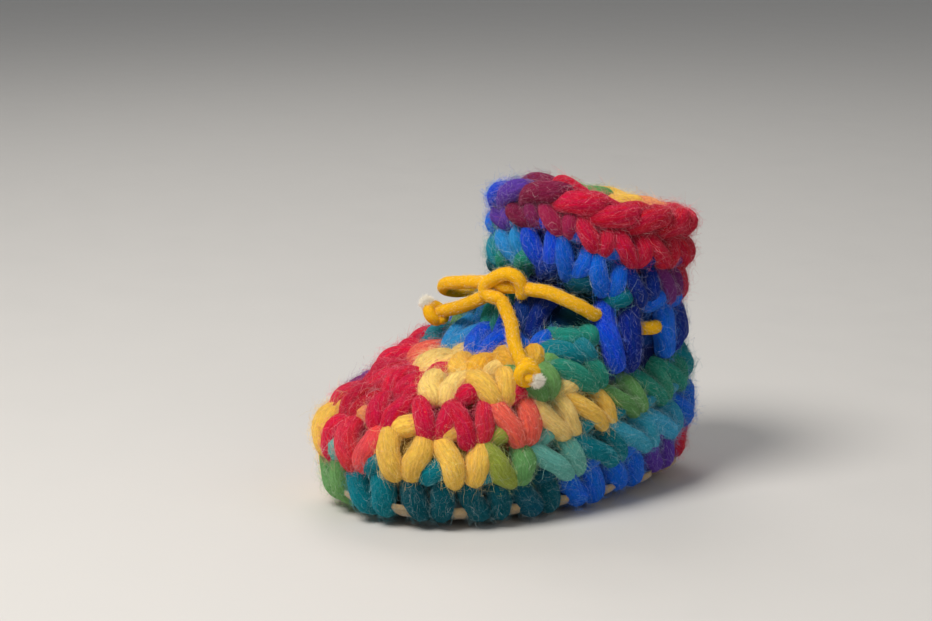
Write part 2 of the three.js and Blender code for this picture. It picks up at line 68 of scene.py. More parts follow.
# Where the collar stands up and where the soft toe sags: rise, turn from the heel and spread in degrees, and
# the levels where it begins, is full, begins to end and is gone.
SWELLS = ((6.5, 152, 38, 6.0, 7.5, 11, 12), (-3.6, 216, 33, 1.2, 2.6, 4.2, 5.6))
SUEDE = 2.0
SUEDE_INSET = 1.7
EDGE_RISE = 6.4
TOE_SPRING = 1.4
SPRING_POWER = 3
FLAT_INSET = 18.0
RISE_CURVE = 1.4
HOLE_INSET = 7.5
HOLE_RADIUS = 2.0
FLEECE = 4.0
FLEECE_INSET = 3.6
CORD = 4.0
GAP = 0.3

# The drawstring's routes, close to those in the part's source. Round the ankle: turn, out and drop.
RUN = [(112, 0.6, 0.6), (103, -0.6, 1.4), (90, -0.4, 2.4), (75, 2.6, 2.8), (58, -0.4, 2.2), (36, 2.2, 1.4),
       (14, -0.4, 0.8), (-10, 2.2, 0), (-34, -0.4, 0), (-58, 2.2, 0), (-82, -0.4, 0), (-104, 2.4, 0),
       (-117, 0.2, 0), (-126, 1.8, 0), (-136, 6, 0)]
BAR = [(10.4, -2, 63.6), (15.4, -1.2, 63.7), (19.8, 1, 63.6), (23.5, 4.8, 61.8), (25.9, 9, 59.4),
       (26.4, 12.8, 57)]
LOOP = [(3, -6.2, 64.2), (-8, -9.8, 62.5), (-16.4, -11.5, 60.7), (-20.2, -10.4, 58.4), (-21.6, -6, 56.8),
        (-21.4, -1.5, 56.6), (-20.4, 2.6, 56.6)]
END_SIDE = [(8.0, -7.5, 61.2), (9.6, -7.6, 59.2), (11.9, -7.6, 57), (15.9, -8.5, 54.1), (24.5, -12.5, 50.3),
            (31.2, -14.1, 46.8)]
END_TOE = [(6.4, -4.8, 62.6), (2.6, -8.6, 60.4), (-3.4, -11.8, 57), (-8.6, -12.8, 54.9), (-12.2, -14.2, 53.6)]
KNOT_CENTRE = np.array((7.3, -5.4, 64.3))
KNOT_TURN = math.radians(32)
# The knot's own axes: across, back and up.
KNOT_AXES = np.array([(math.cos(KNOT_TURN), math.sin(KNOT_TURN), 0),
                      (-math.sin(KNOT_TURN), math.cos(KNOT_TURN), 0), (0, 0, 1)])
KNOT_RING = [(5.2, 0.4, -4), (5.7, -1, 0.4), (4.4, -1.8, 2.9), (1.2, -2.2, 3.6), (-2.6, -2.2, 1.9),
             (-5.4, -2, -0.4), (-5.4, -2.2, -2.6), (-3, -2.8, -3.5), (-0.8, -2.8, -3.8), (0.8, -2.6, -4.6)]
KNOT_CORE = [(-5.2, 1, 0.2), (-1.5, -0.4, -0.4), (1.6, -0.4, -0.6), (4.6, 1, 0)]
END_KNOT_HALF = 4.2

# Dyes of the wool and the plain colours, in sRGB.
DYES = {
    "crimson": (200, 14, 56), "red": (186, 12, 44), "berry": (158, 32, 74), "wine": (118, 26, 62),
    "plum": (108, 40, 104), "violet": (84, 52, 148), "navy": (4, 34, 124), "royal": (0, 64, 198),
    "blue": (0, 92, 204), "cyan": (30, 128, 190), "sky": (46, 142, 168), "teal": (0, 116, 130),
    "petrol": (2, 74, 86), "mint": (96, 168, 156), "seagreen": (30, 128, 108), "green": (96, 150, 86),
    "olive": (140, 154, 60), "yellow": (243, 192, 78), "pale": (246, 208, 118), "gold": (228, 170, 44),
    "peach": (240, 156, 92), "salmon": (228, 92, 72), "coral": (216, 54, 68),
}
CORD_YELLOW = (244, 182, 26)
SUEDE_TAN = (172, 146, 106)
FLEECE_CREAM = (238, 229, 210)
FRAY_WHITE = (250, 244, 230)
PALE_FIBRE = (246, 240, 232)


class Row:
    """A round of stitches: the levels it lies between, its stitches, where the first stands, and dyes."""

    def __init__(self, low, high, count, first, dyes):
        self.low, self.high = low, high
        self.count, self.first = count, first
        self.dyes = [word.split("/") for word in dyes.split()]

    def shares(self, shift=0.0):
        """Where each stitch stands, as a share of the round, moved on by a part of a stitch."""
        return [(k + self.first + shift) / self.count % 1.0 for k in range(self.count)]

    def half_way(self):
        return (self.low + self.high) / 2

    def dyes_of(self, part):
        """One dye for each stitch. Part is 0 or 1 for their legs and 2 for their heads."""
        return [dyes[part] if part < len(dyes) else dyes[0] for dyes in self.dyes]


# The wool's dyes, stitch by stitch, from the heel along the +X side to the toe and back along the other
# side. A stitch with two dyes has one for each leg, and a third dye is for its head.
CHART = {
    "sole": Row(0.0, 1.0, 17, 0.75, "red violet blue blue petrol petrol/petrol/teal petrol/petrol/teal teal "
                "green/green/mint yellow peach salmon crimson crimson wine wine crimson"),
    "foot": Row(1.0, 2.0, 20, 0.35, "blue blue sky sky teal mint olive/green yellow yellow "
                "crimson/coral/peach yellow/crimson yellow peach salmon crimson wine plum violet royal blue"),
    "side": Row(2.0, 3.0, 22, 0.05, "teal teal seagreen seagreen green yellow pale salmon/salmon/peach "
                "crimson crimson crimson red crimson plum violet royal blue cyan teal petrol petrol teal"),
    "vamp": Row(3.0, 3.95, 18, 0.75, "blue navy navy blue seagreen green yellow pale crimson crimson "
                "crimson crimson plum violet royal blue navy navy"),
    "instep": Row(3.95, 4.85, 16, 0.0, "navy navy blue blue olive teal gold gold pale salmon teal royal "
                  "royal royal navy navy"),
    "tongue": Row(4.85, 5.5, 14, 0.5, "blue blue navy teal seagreen blue royal cyan green peach teal blue "
                  "navy navy"),
    "throat": Row(5.5, 6.5, 14, 0.0, "blue blue blue blue teal petrol navy seagreen petrol olive green teal "
                  "blue blue"),
    "cuff": Row(7.0, 8.0, 15, 0.5, "red red plum navy blue blue royal cyan teal seagreen green olive gold "
                "peach salmon"),
    "band": Row(8.0, 9.0, 15, 0.0, "red red red red crimson crimson berry wine violet blue cyan teal olive "
                "gold salmon"),
    "rim": Row(9.0, 10.0, 15, 0.5, "red red red red crimson crimson wine violet royal cyan teal green green "
               "yellow peach"),
}
SHORT_ROWS = ("vamp", "instep", "tongue", "throat")
SHORT_END_Y = 9.0  # the vamp's short rows end here, in front of the posts
# The tall stitches over the heel: turn at the drawstring, in degrees from the heel, and dyes of two legs.
POSTS = [(99, "royal", "navy"), (50, "blue", "navy"), (14, "navy", "navy"), (-34, "royal", "navy"),
         (-82, "blue", "royal"), (-117, "cyan", "blue")]
POST_LEVELS = (3.25, 6.75)


# Curves and the wool wall

def linear(rgb):
    c = np.array(rgb, float) / 255
    return np.where(c <= 0.04045, c / 12.92, ((c + 0.055) / 1.055) ** 2.4)


def unit(v):
    return v / np.maximum(np.linalg.norm(v, axis=-1, keepdims=True), 1e-9)


def smooth(low, high, value):
    t = np.clip((value - low) / (high - low), 0, 1)
    return t * t * (3 - 2 * t)


def distances(path):
    """The way along a path to each of its points."""
    return np.concatenate([[0], np.cumsum(np.linalg.norm(np.diff(path, axis=0), axis=1))])


def curve(a, b, c, d, t):
    """A smooth curve from b to c that comes from a and goes on to d, at share t of its way."""
    return (2 * b + (c - a) * t + (2 * a - 5 * b + 4 * c - d) * t**2 + (3 * b - a - 3 * c + d) * t**3) / 2


def spline(points, shares):
    """Points on a smooth curve through the rows of points, at shares of its way."""
    p = np.array(points, float)
    q = np.concatenate([[2 * p[0] - p[1]], p, [2 * p[-1] - p[-2]]])
    at = np.asarray(shares) * (len(p) - 1)
    i = np.minimum(at.astype(int), len(p) - 2)
    return curve(q[i], q[i + 1], q[i + 2], q[i + 3], (at - i)[:, None])


SAMPLES_PER_POINT = 40
CORD_STEP = 0.5


def even_line(points):
    """Points at an even step along a smooth curve through points."""
    fine = spline(points, np.linspace(0, 1, SAMPLES_PER_POINT * len(points)))
    along = distances(fine)
    at = np.linspace(0, along[-1], max(3, int(math.ceil(along[-1] / CORD_STEP)) + 1))
    return np.stack([np.interp(at, along, fine[:, k]) for k in range(3)], 1)


def between(column, level):
    """A column of ROUNDS at a level, on a smooth curve through the rounds."""
    values = ROUNDS[:, column]
    i = np.minimum(np.floor(level).astype(int), RIM - 1)
    return curve(*[values[np.clip(i + k, 0, RIM)] for k in (-1, 0, 1, 2)], level - i)


def swell(level, turn, rise, at, spread, begins, full, ending, gone):
    """How far the wall rises near a turn, between levels."""
    away = turn - math.radians(at)
    near = np.exp(-((np.arctan2(np.sin(away), np.cos(away)) / math.radians(spread)) ** 2))
    return rise * near * smooth(begins, full, level) * (1 - smooth(ending, gone, level))


def middle(level, turn):
    """A point in the middle of the wall; turn is in radians from the heel through +X."""
    level, turn = np.broadcast_arrays(np.asarray(level, float), np.asarray(turn, float))
    c, s = np.cos(turn), np.sin(turn)
    toe_y, toe_z, half, widest, side_z, heel_y, heel_z = [between(k, level) for k in range(7)]
    end_y, end_z = np.where(c > 0, heel_y, toe_y), np.where(c > 0, heel_z, toe_z)
    across = np.sign(s) * np.abs(s) ** ROUNDNESS
    y = widest + (end_y - widest) * np.abs(c)
    z = side_z + (end_z - side_z) * np.abs(c) ** RISE_POWER
    z = z + sum(swell(level, turn, *row) for row in SWELLS)
    return np.stack([half * across, y, z], -1)


# The wall sampled once, by level and by share of each round's length from the heel.
GRID_UP, GRID_ROUND = 200, 720
GRID_LEVELS = np.linspace(0, RIM, GRID_UP + 1)
GRID_TURNS = np.linspace(0, 2 * np.pi, GRID_ROUND + 1)
NORMAL_UP, NORMAL_ROUND = 4, 3  # a normal is taken over this many samples to either side


def sample_wall():
    """Points of the wall, its normals, and how far round each turn lies."""
    raw = middle(GRID_LEVELS[:, None], GRID_TURNS[None, :])
    along = np.stack([distances(ring) for ring in raw])
    shares = np.linspace(0, 1, GRID_ROUND + 1)
    even = np.stack([
        middle(level, np.interp(shares, run / run[-1], GRID_TURNS)) for level, run in zip(GRID_LEVELS, along)
    ])
    rings = even[:, :-1]
    around = np.roll(rings, -NORMAL_ROUND, 1) - np.roll(rings, NORMAL_ROUND, 1)
    around = np.concatenate([around, around[:, :1]], 1)
    index = np.arange(GRID_UP + 1)
    up = even[np.minimum(index + NORMAL_UP, GRID_UP)] - even[np.maximum(index - NORMAL_UP, 0)]
    return even, unit(np.cross(up, around)), along


WALL, WALL_NORMAL, WALL_ALONG = sample_wall()


def sample(grid, level, share):
    u = np.clip(level, 0, RIM) / RIM * GRID_UP
    v = np.mod(share, 1.0) * GRID_ROUND
    i, j = np.minimum(u.astype(int), GRID_UP - 1), np.minimum(v.astype(int), GRID_ROUND - 1)
    a, b = (u - i)[..., None], (v - j)[..., None]
    low = grid[i, j] * (1 - b) + grid[i, j + 1] * b
    high = grid[i + 1, j] * (1 - b) + grid[i + 1, j + 1] * b
    return low * (1 - a) + high * a


def wall(level, share, out):
    """A point at a distance out from the middle of the wall."""
    level, share, out = np.broadcast_arrays(*[np.asarray(v, float) for v in (level, share, out)])
    return sample(WALL, level, share) + sample(WALL_NORMAL, level, share) * out[..., None]


def outward(level, share):
    return sample(WALL_NORMAL, np.array(float(level)), np.array(share))


def round_length(level):
    return np.interp(level, GRID_LEVELS, WALL_ALONG[:, -1])


def share_at(level, degrees):
    """The share of a round's length at a turn from the heel."""
    run = WALL_ALONG[int(round(level / RIM * GRID_UP))]
    return np.interp(math.radians(degrees) % (2 * np.pi), GRID_TURNS, run / run[-1])


COLUMN_REACH = 0.35  # how far a column goes on past its ends, as a share of its height
COLUMN_LEVELS = 18
COLUMN_WINDOW = np.linspace(-0.06, 0.06, 121)


def column(low, high, share):
    """Levels, and the shares at which a line square to the rounds crosses them. It has share half way up."""
    reach = COLUMN_REACH * (high - low)
    levels = np.clip(np.linspace(low - reach, high + reach, COLUMN_LEVELS), 0, RIM)
    shares = np.zeros(len(levels))
    start = int(np.argmin(np.abs(levels - (low + high) / 2)))
    shares[start] = share
    for order in (range(start + 1, len(levels)), range(start - 1, -1, -1)):
        here, point = share, wall(levels[start], share, 0)
        for i in order:
            near = wall(levels[i], here + COLUMN_WINDOW, 0)
            here = here + COLUMN_WINDOW[np.argmin(np.linalg.norm(near - point, axis=1))]
            point = wall(levels[i], here, 0)
            shares[i] = here
    return levels, shares


def plan(share, inset):
    """A point of the bottom's plan, inwards of the middle of the wall, at height 0."""
    share, inset = np.broadcast_arrays(np.asarray(share, float), np.asarray(inset, float))
    step = 1 / GRID_ROUND
    level = np.zeros_like(share)
    way = sample(WALL, level, share + step) - sample(WALL, level, share - step)
    way[..., 2] = 0
    way /= np.linalg.norm(way, axis=-1, keepdims=True)
    point = sample(WALL, level, share)
    point[..., 2] = 0
    inwards = np.stack([way[..., 1], -way[..., 0], np.zeros_like(share)], -1)
    return point + inwards * inset[..., None]


def suede_under(share, inset):
    """Height of the suede's underside at an inset from its edge."""
    toe_y, widest_y = ROUNDS[0, 0], ROUNDS[0, 3]
    y = sample(WALL, np.zeros_like(share), share)[..., 1]
    toe = np.clip((y - widest_y) / (toe_y - widest_y), 0, 1) ** SPRING_POWER
    left = 1 - np.clip(inset, 0, FLAT_INSET) / FLAT_INSET
    return (EDGE_RISE + TOE_SPRING * toe) * left**RISE_CURVE


# Meshes and strands

def to_mesh(name, points, faces, tint=None, strand=None, rounded=True):
    """A mesh object from points in millimetres, with a colour and a place on the strand at each point."""
    mesh = bpy.data.meshes.new(name)
    points = np.asarray(points, np.float32) * MM
    counts = np.array([len(f) for f in faces], np.int32)
    loops = np.concatenate([np.asarray(f, np.int32) for f in faces])
    starts = np.concatenate([[0], np.cumsum(counts)[:-1]]).astype(np.int32)
    mesh.vertices.add(len(points))
    mesh.vertices.foreach_set("co", points.ravel())
    mesh.loops.add(len(loops))
    mesh.loops.foreach_set("vertex_index", loops)
    mesh.polygons.add(len(counts))
    mesh.polygons.foreach_set("loop_start", starts)
    mesh.polygons.foreach_set("use_smooth", np.full(len(counts), rounded))
    mesh.update(calc_edges=True)
    mesh.validate()
    if tint is not None:
        colours = np.concatenate([tint, np.ones((len(tint), 1))], 1).astype(np.float32)
        mesh.attributes.new("tint", "FLOAT_COLOR", "POINT").data.foreach_set("color", colours.ravel())
    if strand is not None:
        place = np.asarray(strand, np.float32)
        mesh.attributes.new("strand", "FLOAT_VECTOR", "POINT").data.foreach_set("vector", place.ravel())
    obj = bpy.data.objects.new(name, mesh)
    bpy.context.scene.collection.objects.link(obj)
    return obj


def ring_frames(path, facing):
    """Two cross directions at each point of a path, the first one starting towards facing at its middle."""
    way = unit(np.gradient(path, axis=0))
    n = len(path)
    first = np.zeros_like(path)
    for order in (range(n // 2, n), range(n // 2, -1, -1)):
        v = np.array(facing, float)
        for i in order:
            v = unit(v - way[i] * (v @ way[i]))
            first[i] = v
    return first, np.cross(way, first)


TWIST = 0.06
WOOL_LUMPS = 0.03
OUTER_SIDE = -0.1  # loose fibres grow on the side of a strand that faces out more than this
# Waves that make a strand lumpy: how fast each turns along the strand, its count round it and its share.
LUMPS = ((0.55, 0, 0.7), (0.3, 2, 1.0), (-0.5, 3, 0.6))


CAP_LEAST = 0.05  # the share of its radius that a strand's very end keeps


def cap(along, radius):
    """The share of its radius that a strand has along it, as both of its ends are round."""
    near = np.clip(np.minimum(along, along[-1] - along) / np.maximum(radius, 0.01), 0, 1)
    return np.maximum(np.sqrt(1 - (1 - near) ** 2), CAP_LEAST)


class Strands:
    """Closed tubes gathered into one mesh."""

    def __init__(self, sides=12):
        self.sides = sides
        self.points, self.faces, self.tints, self.places = [], [], [], []
        self.normals, self.ways, self.shows = [], [], []
        self.count = 0

    def add(self, path, radius, tint, facing, lumps=WOOL_LUMPS, twist=TWIST, capped=True):
        """A tube along path. Twist is how fast its fibres turn, per mm."""
        n, m = len(path), self.sides
        first, second = ring_frames(path, facing)
        along = distances(path)
        angle = np.linspace(0, 2 * np.pi, m, endpoint=False)[None, :]
        radius = np.broadcast_to(radius, n)
        if capped:
            radius = radius * cap(along, radius)
        radius = radius[:, None] * np.ones((1, m))
        if lumps:
            phases = rng.uniform(0, 2 * np.pi, 4)
            waves = [share * np.sin(count * angle + speed * along[:, None] + phase)
                     for (speed, count, share), phase in zip(LUMPS, phases)]
            radius = radius * (1 + lumps * sum(waves))
        direction = first[:, None] * np.cos(angle)[..., None] + second[:, None] * np.sin(angle)[..., None]
        points = path[:, None] + direction * radius[..., None]
        fibre = angle + twist * along[:, None]
        start = rng.uniform(0, 100)
        place = np.stack(np.broadcast_arrays(along[:, None] + start, np.cos(fibre), np.sin(fibre)), -1)
        index = self.count + np.arange(n * m).reshape(n, m)
        turned = np.roll(index, -1, 1)
        quads = np.stack([index[:-1], turned[:-1], turned[1:], index[1:]], -1).reshape(-1, 4)
        self.faces += [*quads, index[0][::-1], index[-1]]
        self.points.append(points.reshape(-1, 3))
        self.tints.append(np.repeat(np.broadcast_to(tint, (n, 3)), m, 0))
        self.places.append(place.reshape(-1, 3))
        self.normals.append(unit(direction).reshape(-1, 3))
        self.ways.append(np.repeat(unit(np.gradient(path, axis=0)), m, 0))
        outer = unit(direction) @ unit(np.array(facing, float)) > OUTER_SIDE
        self.shows.append((np.gradient(along)[:, None] * radius * outer).ravel())
        self.count += n * m

    def make(self, name):
        arrays = [np.concatenate(a) for a in (self.tints, self.places)]
        return to_mesh(name, np.concatenate(self.points), self.faces, *arrays)

    def surface(self):
        """Points, with normals, ways of the strand, tints and the area that shows at each."""
        return [np.concatenate(a) for a in (self.points, self.normals, self.ways, self.tints, self.shows)]


def joined_surface(made):
    return [np.concatenate(arrays) for arrays in zip(*[strands.surface() for strands in made])]


CROWDING = 0.55


def crowded(count):
    """Shares from 0 to 1 that crowd towards both ends."""
    u = np.linspace(0, 1, count)
    return (1 - CROWDING) * u + CROWDING * (0.5 - 0.5 * np.cos(np.pi * u))


# Materials

class Nodes:
    """A material's node tree with short calls."""

    def __init__(self, name):
        self.material = bpy.data.materials.new(name)
        self.material.use_nodes = True
        self.tree = self.material.node_tree
        self.shader = self.tree.nodes["Principled BSDF"]

    def give(self, socket, value):
        if isinstance(value, bpy.types.NodeSocket):
            self.tree.links.new(value, socket)
        else:
            socket.default_value = value

    def node(self, kind, inputs=None, **settings):
        made = self.tree.nodes.new(kind)
        for key, value in settings.items():
            setattr(made, key, value)
        for key, value in (inputs or {}).items():
            self.give(made.inputs[key], value)
        return made

    def to_shader(self, **values):
        for key, value in values.items():
            self.give(self.shader.inputs[key.replace("_", " ")], value)

    def place(self):
        return self.node("ShaderNodeTexCoord").outputs["Object"]

    def tint(self):
        return self.node("ShaderNodeAttribute", attribute_name="tint").outputs["Color"]

    def strand(self):
        return self.node("ShaderNodeAttribute", attribute_name="strand").outputs["Vector"]

    def noise(self, vector, scale, detail=3.0, roughness=0.6):
        inputs = {"Vector": vector, "Scale": scale, "Detail": detail, "Roughness": roughness}
        return self.node("ShaderNodeTexNoise", inputs).outputs["Fac"]

    def streaks(self, strand, along, across, detail=3.0, roughness=0.6, scale=1.0):
        """Noise stretched along a strand."""
        inputs = {0: strand, 1: (along, across, across)}
        stretched = self.node("ShaderNodeVectorMath", inputs, operation="MULTIPLY").outputs[0]
        return self.noise(stretched, scale, detail, roughness)

    def ramp(self, value, low, high, to_low, to_high):
        inputs = {"Value": value, "From Min": low, "From Max": high, "To Min": to_low, "To Max": to_high}
        return self.node("ShaderNodeMapRange", inputs).outputs["Result"]

    def tones(self, noise, low, high, half=0.25):
        """Tones from low to high, over the part of a noise that lies half to either side of its middle."""
        return self.ramp(noise, 0.5 - half, 0.5 + half, low, high)

    def tone(self, colour, value, hue=0.5, saturation=1.0):
        inputs = {"Color": colour, "Value": value, "Hue": hue, "Saturation": saturation}
        return self.node("ShaderNodeHueSaturation", inputs).outputs["Color"]

    def mix(self, share, colour, other):
        return self.node("ShaderNodeMix", {0: share, 6: colour, 7: other}, data_type="RGBA").outputs[2]

    def math(self, operation, a, b=0.0):
        return self.node("ShaderNodeMath", {0: a, 1: b}, operation=operation).outputs[0]

    def product(self, value, *others):
        for other in others:
            value = self.math("MULTIPLY", value, other)
        return value

    def bump(self, height, strength, distance):
        inputs = {"Height": height, "Strength": strength, "Distance": distance * MM}
        return self.node("ShaderNodeBump", inputs).outputs["Normal"]


FIBRES = 19.0  # how fine the wool's fibres are across its strand
# The loose fibres on the wool, by layer: scale along and across the strand, width and strength.
WEB = ((0.30, 3.0, 0.05, 1.0), (0.5, 5.0, 0.06, 0.8), (0.9, 2.6, 0.04, 0.8))
WEB_THERE = (0.45, 0.6)
WEB_SHOWS, WEB_STANDS = 0.3, 0.4


def wool_material():
    """Spun fibre: streaks along the strand, in tone and in relief, with loose fibres that cross them."""
    n = Nodes("wool")
    tint, strand = n.tint(), n.strand()
    fine = n.streaks(strand, 0.22, FIBRES)
    broad = n.streaks(strand, 0.09, 0.16 * FIBRES)
    wisps = n.streaks(strand, 0.3, 0.4 * FIBRES, 4.0, 0.65)
    felt = n.noise(n.place(), 800.0, 3.0, 0.65)
    value = n.product(n.tones(fine, 0.8, 1.18), n.tones(wisps, 0.8, 1.22), n.tones(felt, 0.88, 1.12),
                      n.tones(broad, 0.88, 1.12))
    base = n.tone(tint, value, n.tones(broad, 0.49, 0.51, 0.3))
    web = 0.0
    for along, across, width, strength in WEB:
        off = n.math("ABSOLUTE", n.math("SUBTRACT", n.streaks(strand, along, across, 2.0, 0.5), 0.5))
        there = n.ramp(n.streaks(strand, along, across, 0.0, scale=1.7), *WEB_THERE, 0.0, strength)
        web = n.math("MAXIMUM", n.product(n.ramp(off, 0.0, width, 1.0, 0.0), there), web)
    pale = n.tone(tint, 1.6, 0.5, 0.9)
    relief = n.math("ADD", n.product(n.math("ADD", fine, wisps), 0.5), n.product(web, WEB_STANDS))
    n.to_shader(Base_Color=n.mix(n.product(web, WEB_SHOWS), base, pale), Roughness=0.95,
                Specular_IOR_Level=0.12, Sheen_Weight=0.7, Sheen_Roughness=0.4, Sheen_Tint=pale,
                Normal=n.bump(relief, 0.9, 0.5))
    return n.material


def cord_material():
    """Soft cotton, with fluff in its tone and relief."""
    n = Nodes("cotton")
    tint, strand = n.tint(), n.strand()
    fluff = n.streaks(strand, 2.0, 4.5, 4.0, 0.75)
    soft = n.streaks(strand, 0.15, 1.0, 2.0)
    value = n.product(n.tones(fluff, 0.74, 1.18), n.tones(soft, 0.92, 1.08))
    n.to_shader(Base_Color=n.tone(tint, value), Roughness=0.95, Specular_IOR_Level=0.1, Sheen_Weight=0.4,
                Sheen_Roughness=0.4, Sheen_Tint=tint, Normal=n.bump(fluff, 1.0, 0.4))
    return n.material


def suede_material():
    n = Nodes("suede")
    place = n.place()
    nap = n.noise(place, 900.0, 5.0, 0.7)
    patch = n.noise(place, 70.0)
    value = n.product(n.tones(nap, 0.78, 1.2, 0.2), n.tones(patch, 0.86, 1.14))
    n.to_shader(Base_Color=n.tone((*linear(SUEDE_TAN), 1), value), Roughness=0.95, Specular_IOR_Level=0.12,
                Sheen_Weight=0.35, Sheen_Roughness=0.5, Normal=n.bump(nap, 0.6, 0.35))
    return n.material


def fibre_material():
    n = Nodes("fibre")
    n.to_shader(Base_Color=n.tint(), Roughness=0.75, Specular_IOR_Level=0.25, Sheen_Weight=0.4)
    return n.material


def fleece_material():
    n = Nodes("fleece")
    curl = n.noise(n.place(), 420.0, 4.0, 0.65)
    base = n.tone((*linear(FLEECE_CREAM), 1), n.tones(curl, 0.82, 1.08, 0.2))
    n.to_shader(Base_Color=base, Roughness=0.95, Specular_IOR_Level=0.1, Sheen_Weight=0.5,
                Normal=n.bump(curl, 0.8, 0.8))
    return n.material


WOOL = wool_material()
COTTON = cord_material()
SUEDE_SKIN = suede_material()
FIBRE = fibre_material()


def finished(obj, material):
    obj.data.materials.append(material)
    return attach(obj, "root")


# Camera, floor and light

# Places of the camera and the lights are in metres.
CAMERA = {"azimuth": 60.0, "elevation": 13.0, "distance": 0.7}
LENS, SENSOR, NEAR = 92.0, 36.0, 0.01
TARGET = Vector((0, -0.0145, 0.056))
FLOOR_HALF = 6000.0
FLOOR_GREY = (0.62, 0.6, 0.57, 1)
SKY = {"Color": (0.93, 0.96, 1.0, 1), "Strength": 0.24}
# Each light: azimuth, elevation, distance, size, watts and colour.
LIGHTS = {
    "key": (12, 55, 0.9, 0.45, 8.6, (1.0, 0.97, 0.93)),
    "fill": (110, 30, 1.0, 0.6, 0.9, (0.95, 0.97, 1.0)),
    "back": (250, 50, 1.0, 0.6, 2.2, (1.0, 0.98, 0.95)),
}


def aimed(data, azimuth, elevation, distance):
    """A camera or light at a distance from the target, turned towards it."""
    a, e = math.radians(azimuth), math.radians(elevation)
    direction = Vector((math.sin(a) * math.cos(e), -math.cos(a) * math.cos(e), math.sin(e)))
    obj = bpy.data.objects.new(data.name, data)
    bpy.context.scene.collection.objects.link(obj)
    obj.location = TARGET + direction * distance
    obj.rotation_euler = (-direction).to_track_quat("-Z", "Y").to_euler()
    return obj


def make_camera():
    data = bpy.data.cameras.new("camera")
    data.lens = LENS
    data.sensor_width = SENSOR
    data.clip_start = NEAR
    bpy.context.scene.camera = aimed(data, **CAMERA)


def make_stage():
    corners = [(x * FLOOR_HALF, y * FLOOR_HALF, 0) for x, y in ((-1, -1), (1, -1), (1, 1), (-1, 1))]
    floor = to_mesh("floor", corners, [(0, 1, 2, 3)], rounded=False)
    n = Nodes("floor")
    n.to_shader(Base_Color=FLOOR_GREY, Roughness=n.tones(n.noise(n.place(), 40.0), 0.6, 0.75, 0.2))
    floor.data.materials.append(n.material)
    world = bpy.data.worlds.new("studio")
    world.use_nodes = True
    for key, value in SKY.items():
        world.node_tree.nodes["Background"].inputs[key].default_value = value
    bpy.context.scene.world = world
    for name, (azimuth, elevation, distance, size, watts, colour) in LIGHTS.items():
        data = bpy.data.lights.new(name, "AREA")
        data.shape = "DISK"
        data.size = size
        data.energy = watts
        data.color = colour
        aimed(data, azimuth, elevation, distance)


make_camera()
make_stage()
bpy.context.scene.view_settings.view_transform = "Standard"


# Loose fibres

HAIRS = 24000
# Each layer: how many fibres, the knots in each, lengths, lift, curl, width, and the pale fibre mixed in.
LAYERS = {
    "drawstring_lint": (6000, 4, (0.6, 1.8), 0.3, 0.5, 0.07, (0.2, 0.8)),
    "wool_fuzz": (2 * HAIRS, 3, (1.0, 3.0), 0.8, 0.8, 0.07, (0.0, 0.38)),
    "wool_down": (5 * HAIRS // 4, 4, (2.2, 5.0), 0.75, 0.9, 0.07, (0.0, 0.48)),
    "wool_halo": (3 * HAIRS // 4, 5, (3.5, 8.0), 1.6, 1.2, 0.065, (0.1, 0.68)),
    "fleece_pile": (HAIRS // 4, 4, (1.5, 3.0), 0.9, 0.6, 0.12, (0.0, 0.5)),
}
HAIR_TAPER = (1.0, 0.35)
HAIR_STRAY = 0.6  # how far a fibre's way strays from its strand's
HAIR_ROOT, HAIR_CLEAR = -0.25, 0.12  # a fibre starts inside its strand, and the rest is clear of it
HAIR_RISE, HAIR_FALL = 1.5, 0.6
HAIR_TONES = (0.8, 1.4)
FIBRE_LIFT = 0.74  # a loose fibre is lighter than its strand
FLOOR_CLEAR = 0.15
CURL_START = 0.4


def ribbons(name, knots, flat, width, colour):
    """Thin tapering ribbons through rows of knots, as one mesh."""
    count, along, _ = knots.shape
    taper = np.linspace(*HAIR_TAPER, along)
    half = unit(flat)[:, None] * (width / 2) * taper[None, :, None]
    points = np.stack([knots - half, knots + half], 2).reshape(-1, 3)
    first = np.arange(count)[:, None] * 2 * along
    faces = np.concatenate([first + 2 * i + np.array((0, 1, 3, 2)) for i in range(along - 1)], 0)
    return to_mesh(name, points, faces, np.repeat(np.clip(colour, 0, 1), 2 * along, 0), rounded=False)


def curls(start, way, side, size, bow, wave, knots):
    """Rows of knots that set out along way and curl towards side, each row size long."""
    rows = [start]
    for t in (np.arange(knots - 1) + 0.5) / (knots - 1):
        turn = bow * (2 * t - CURL_START) + wave * math.sin(2 * math.pi * t)
        rows.append(rows[-1] + (way * np.cos(turn) + side * np.sin(turn)) * size / (knots - 1))
    return np.stack(rows, 1)


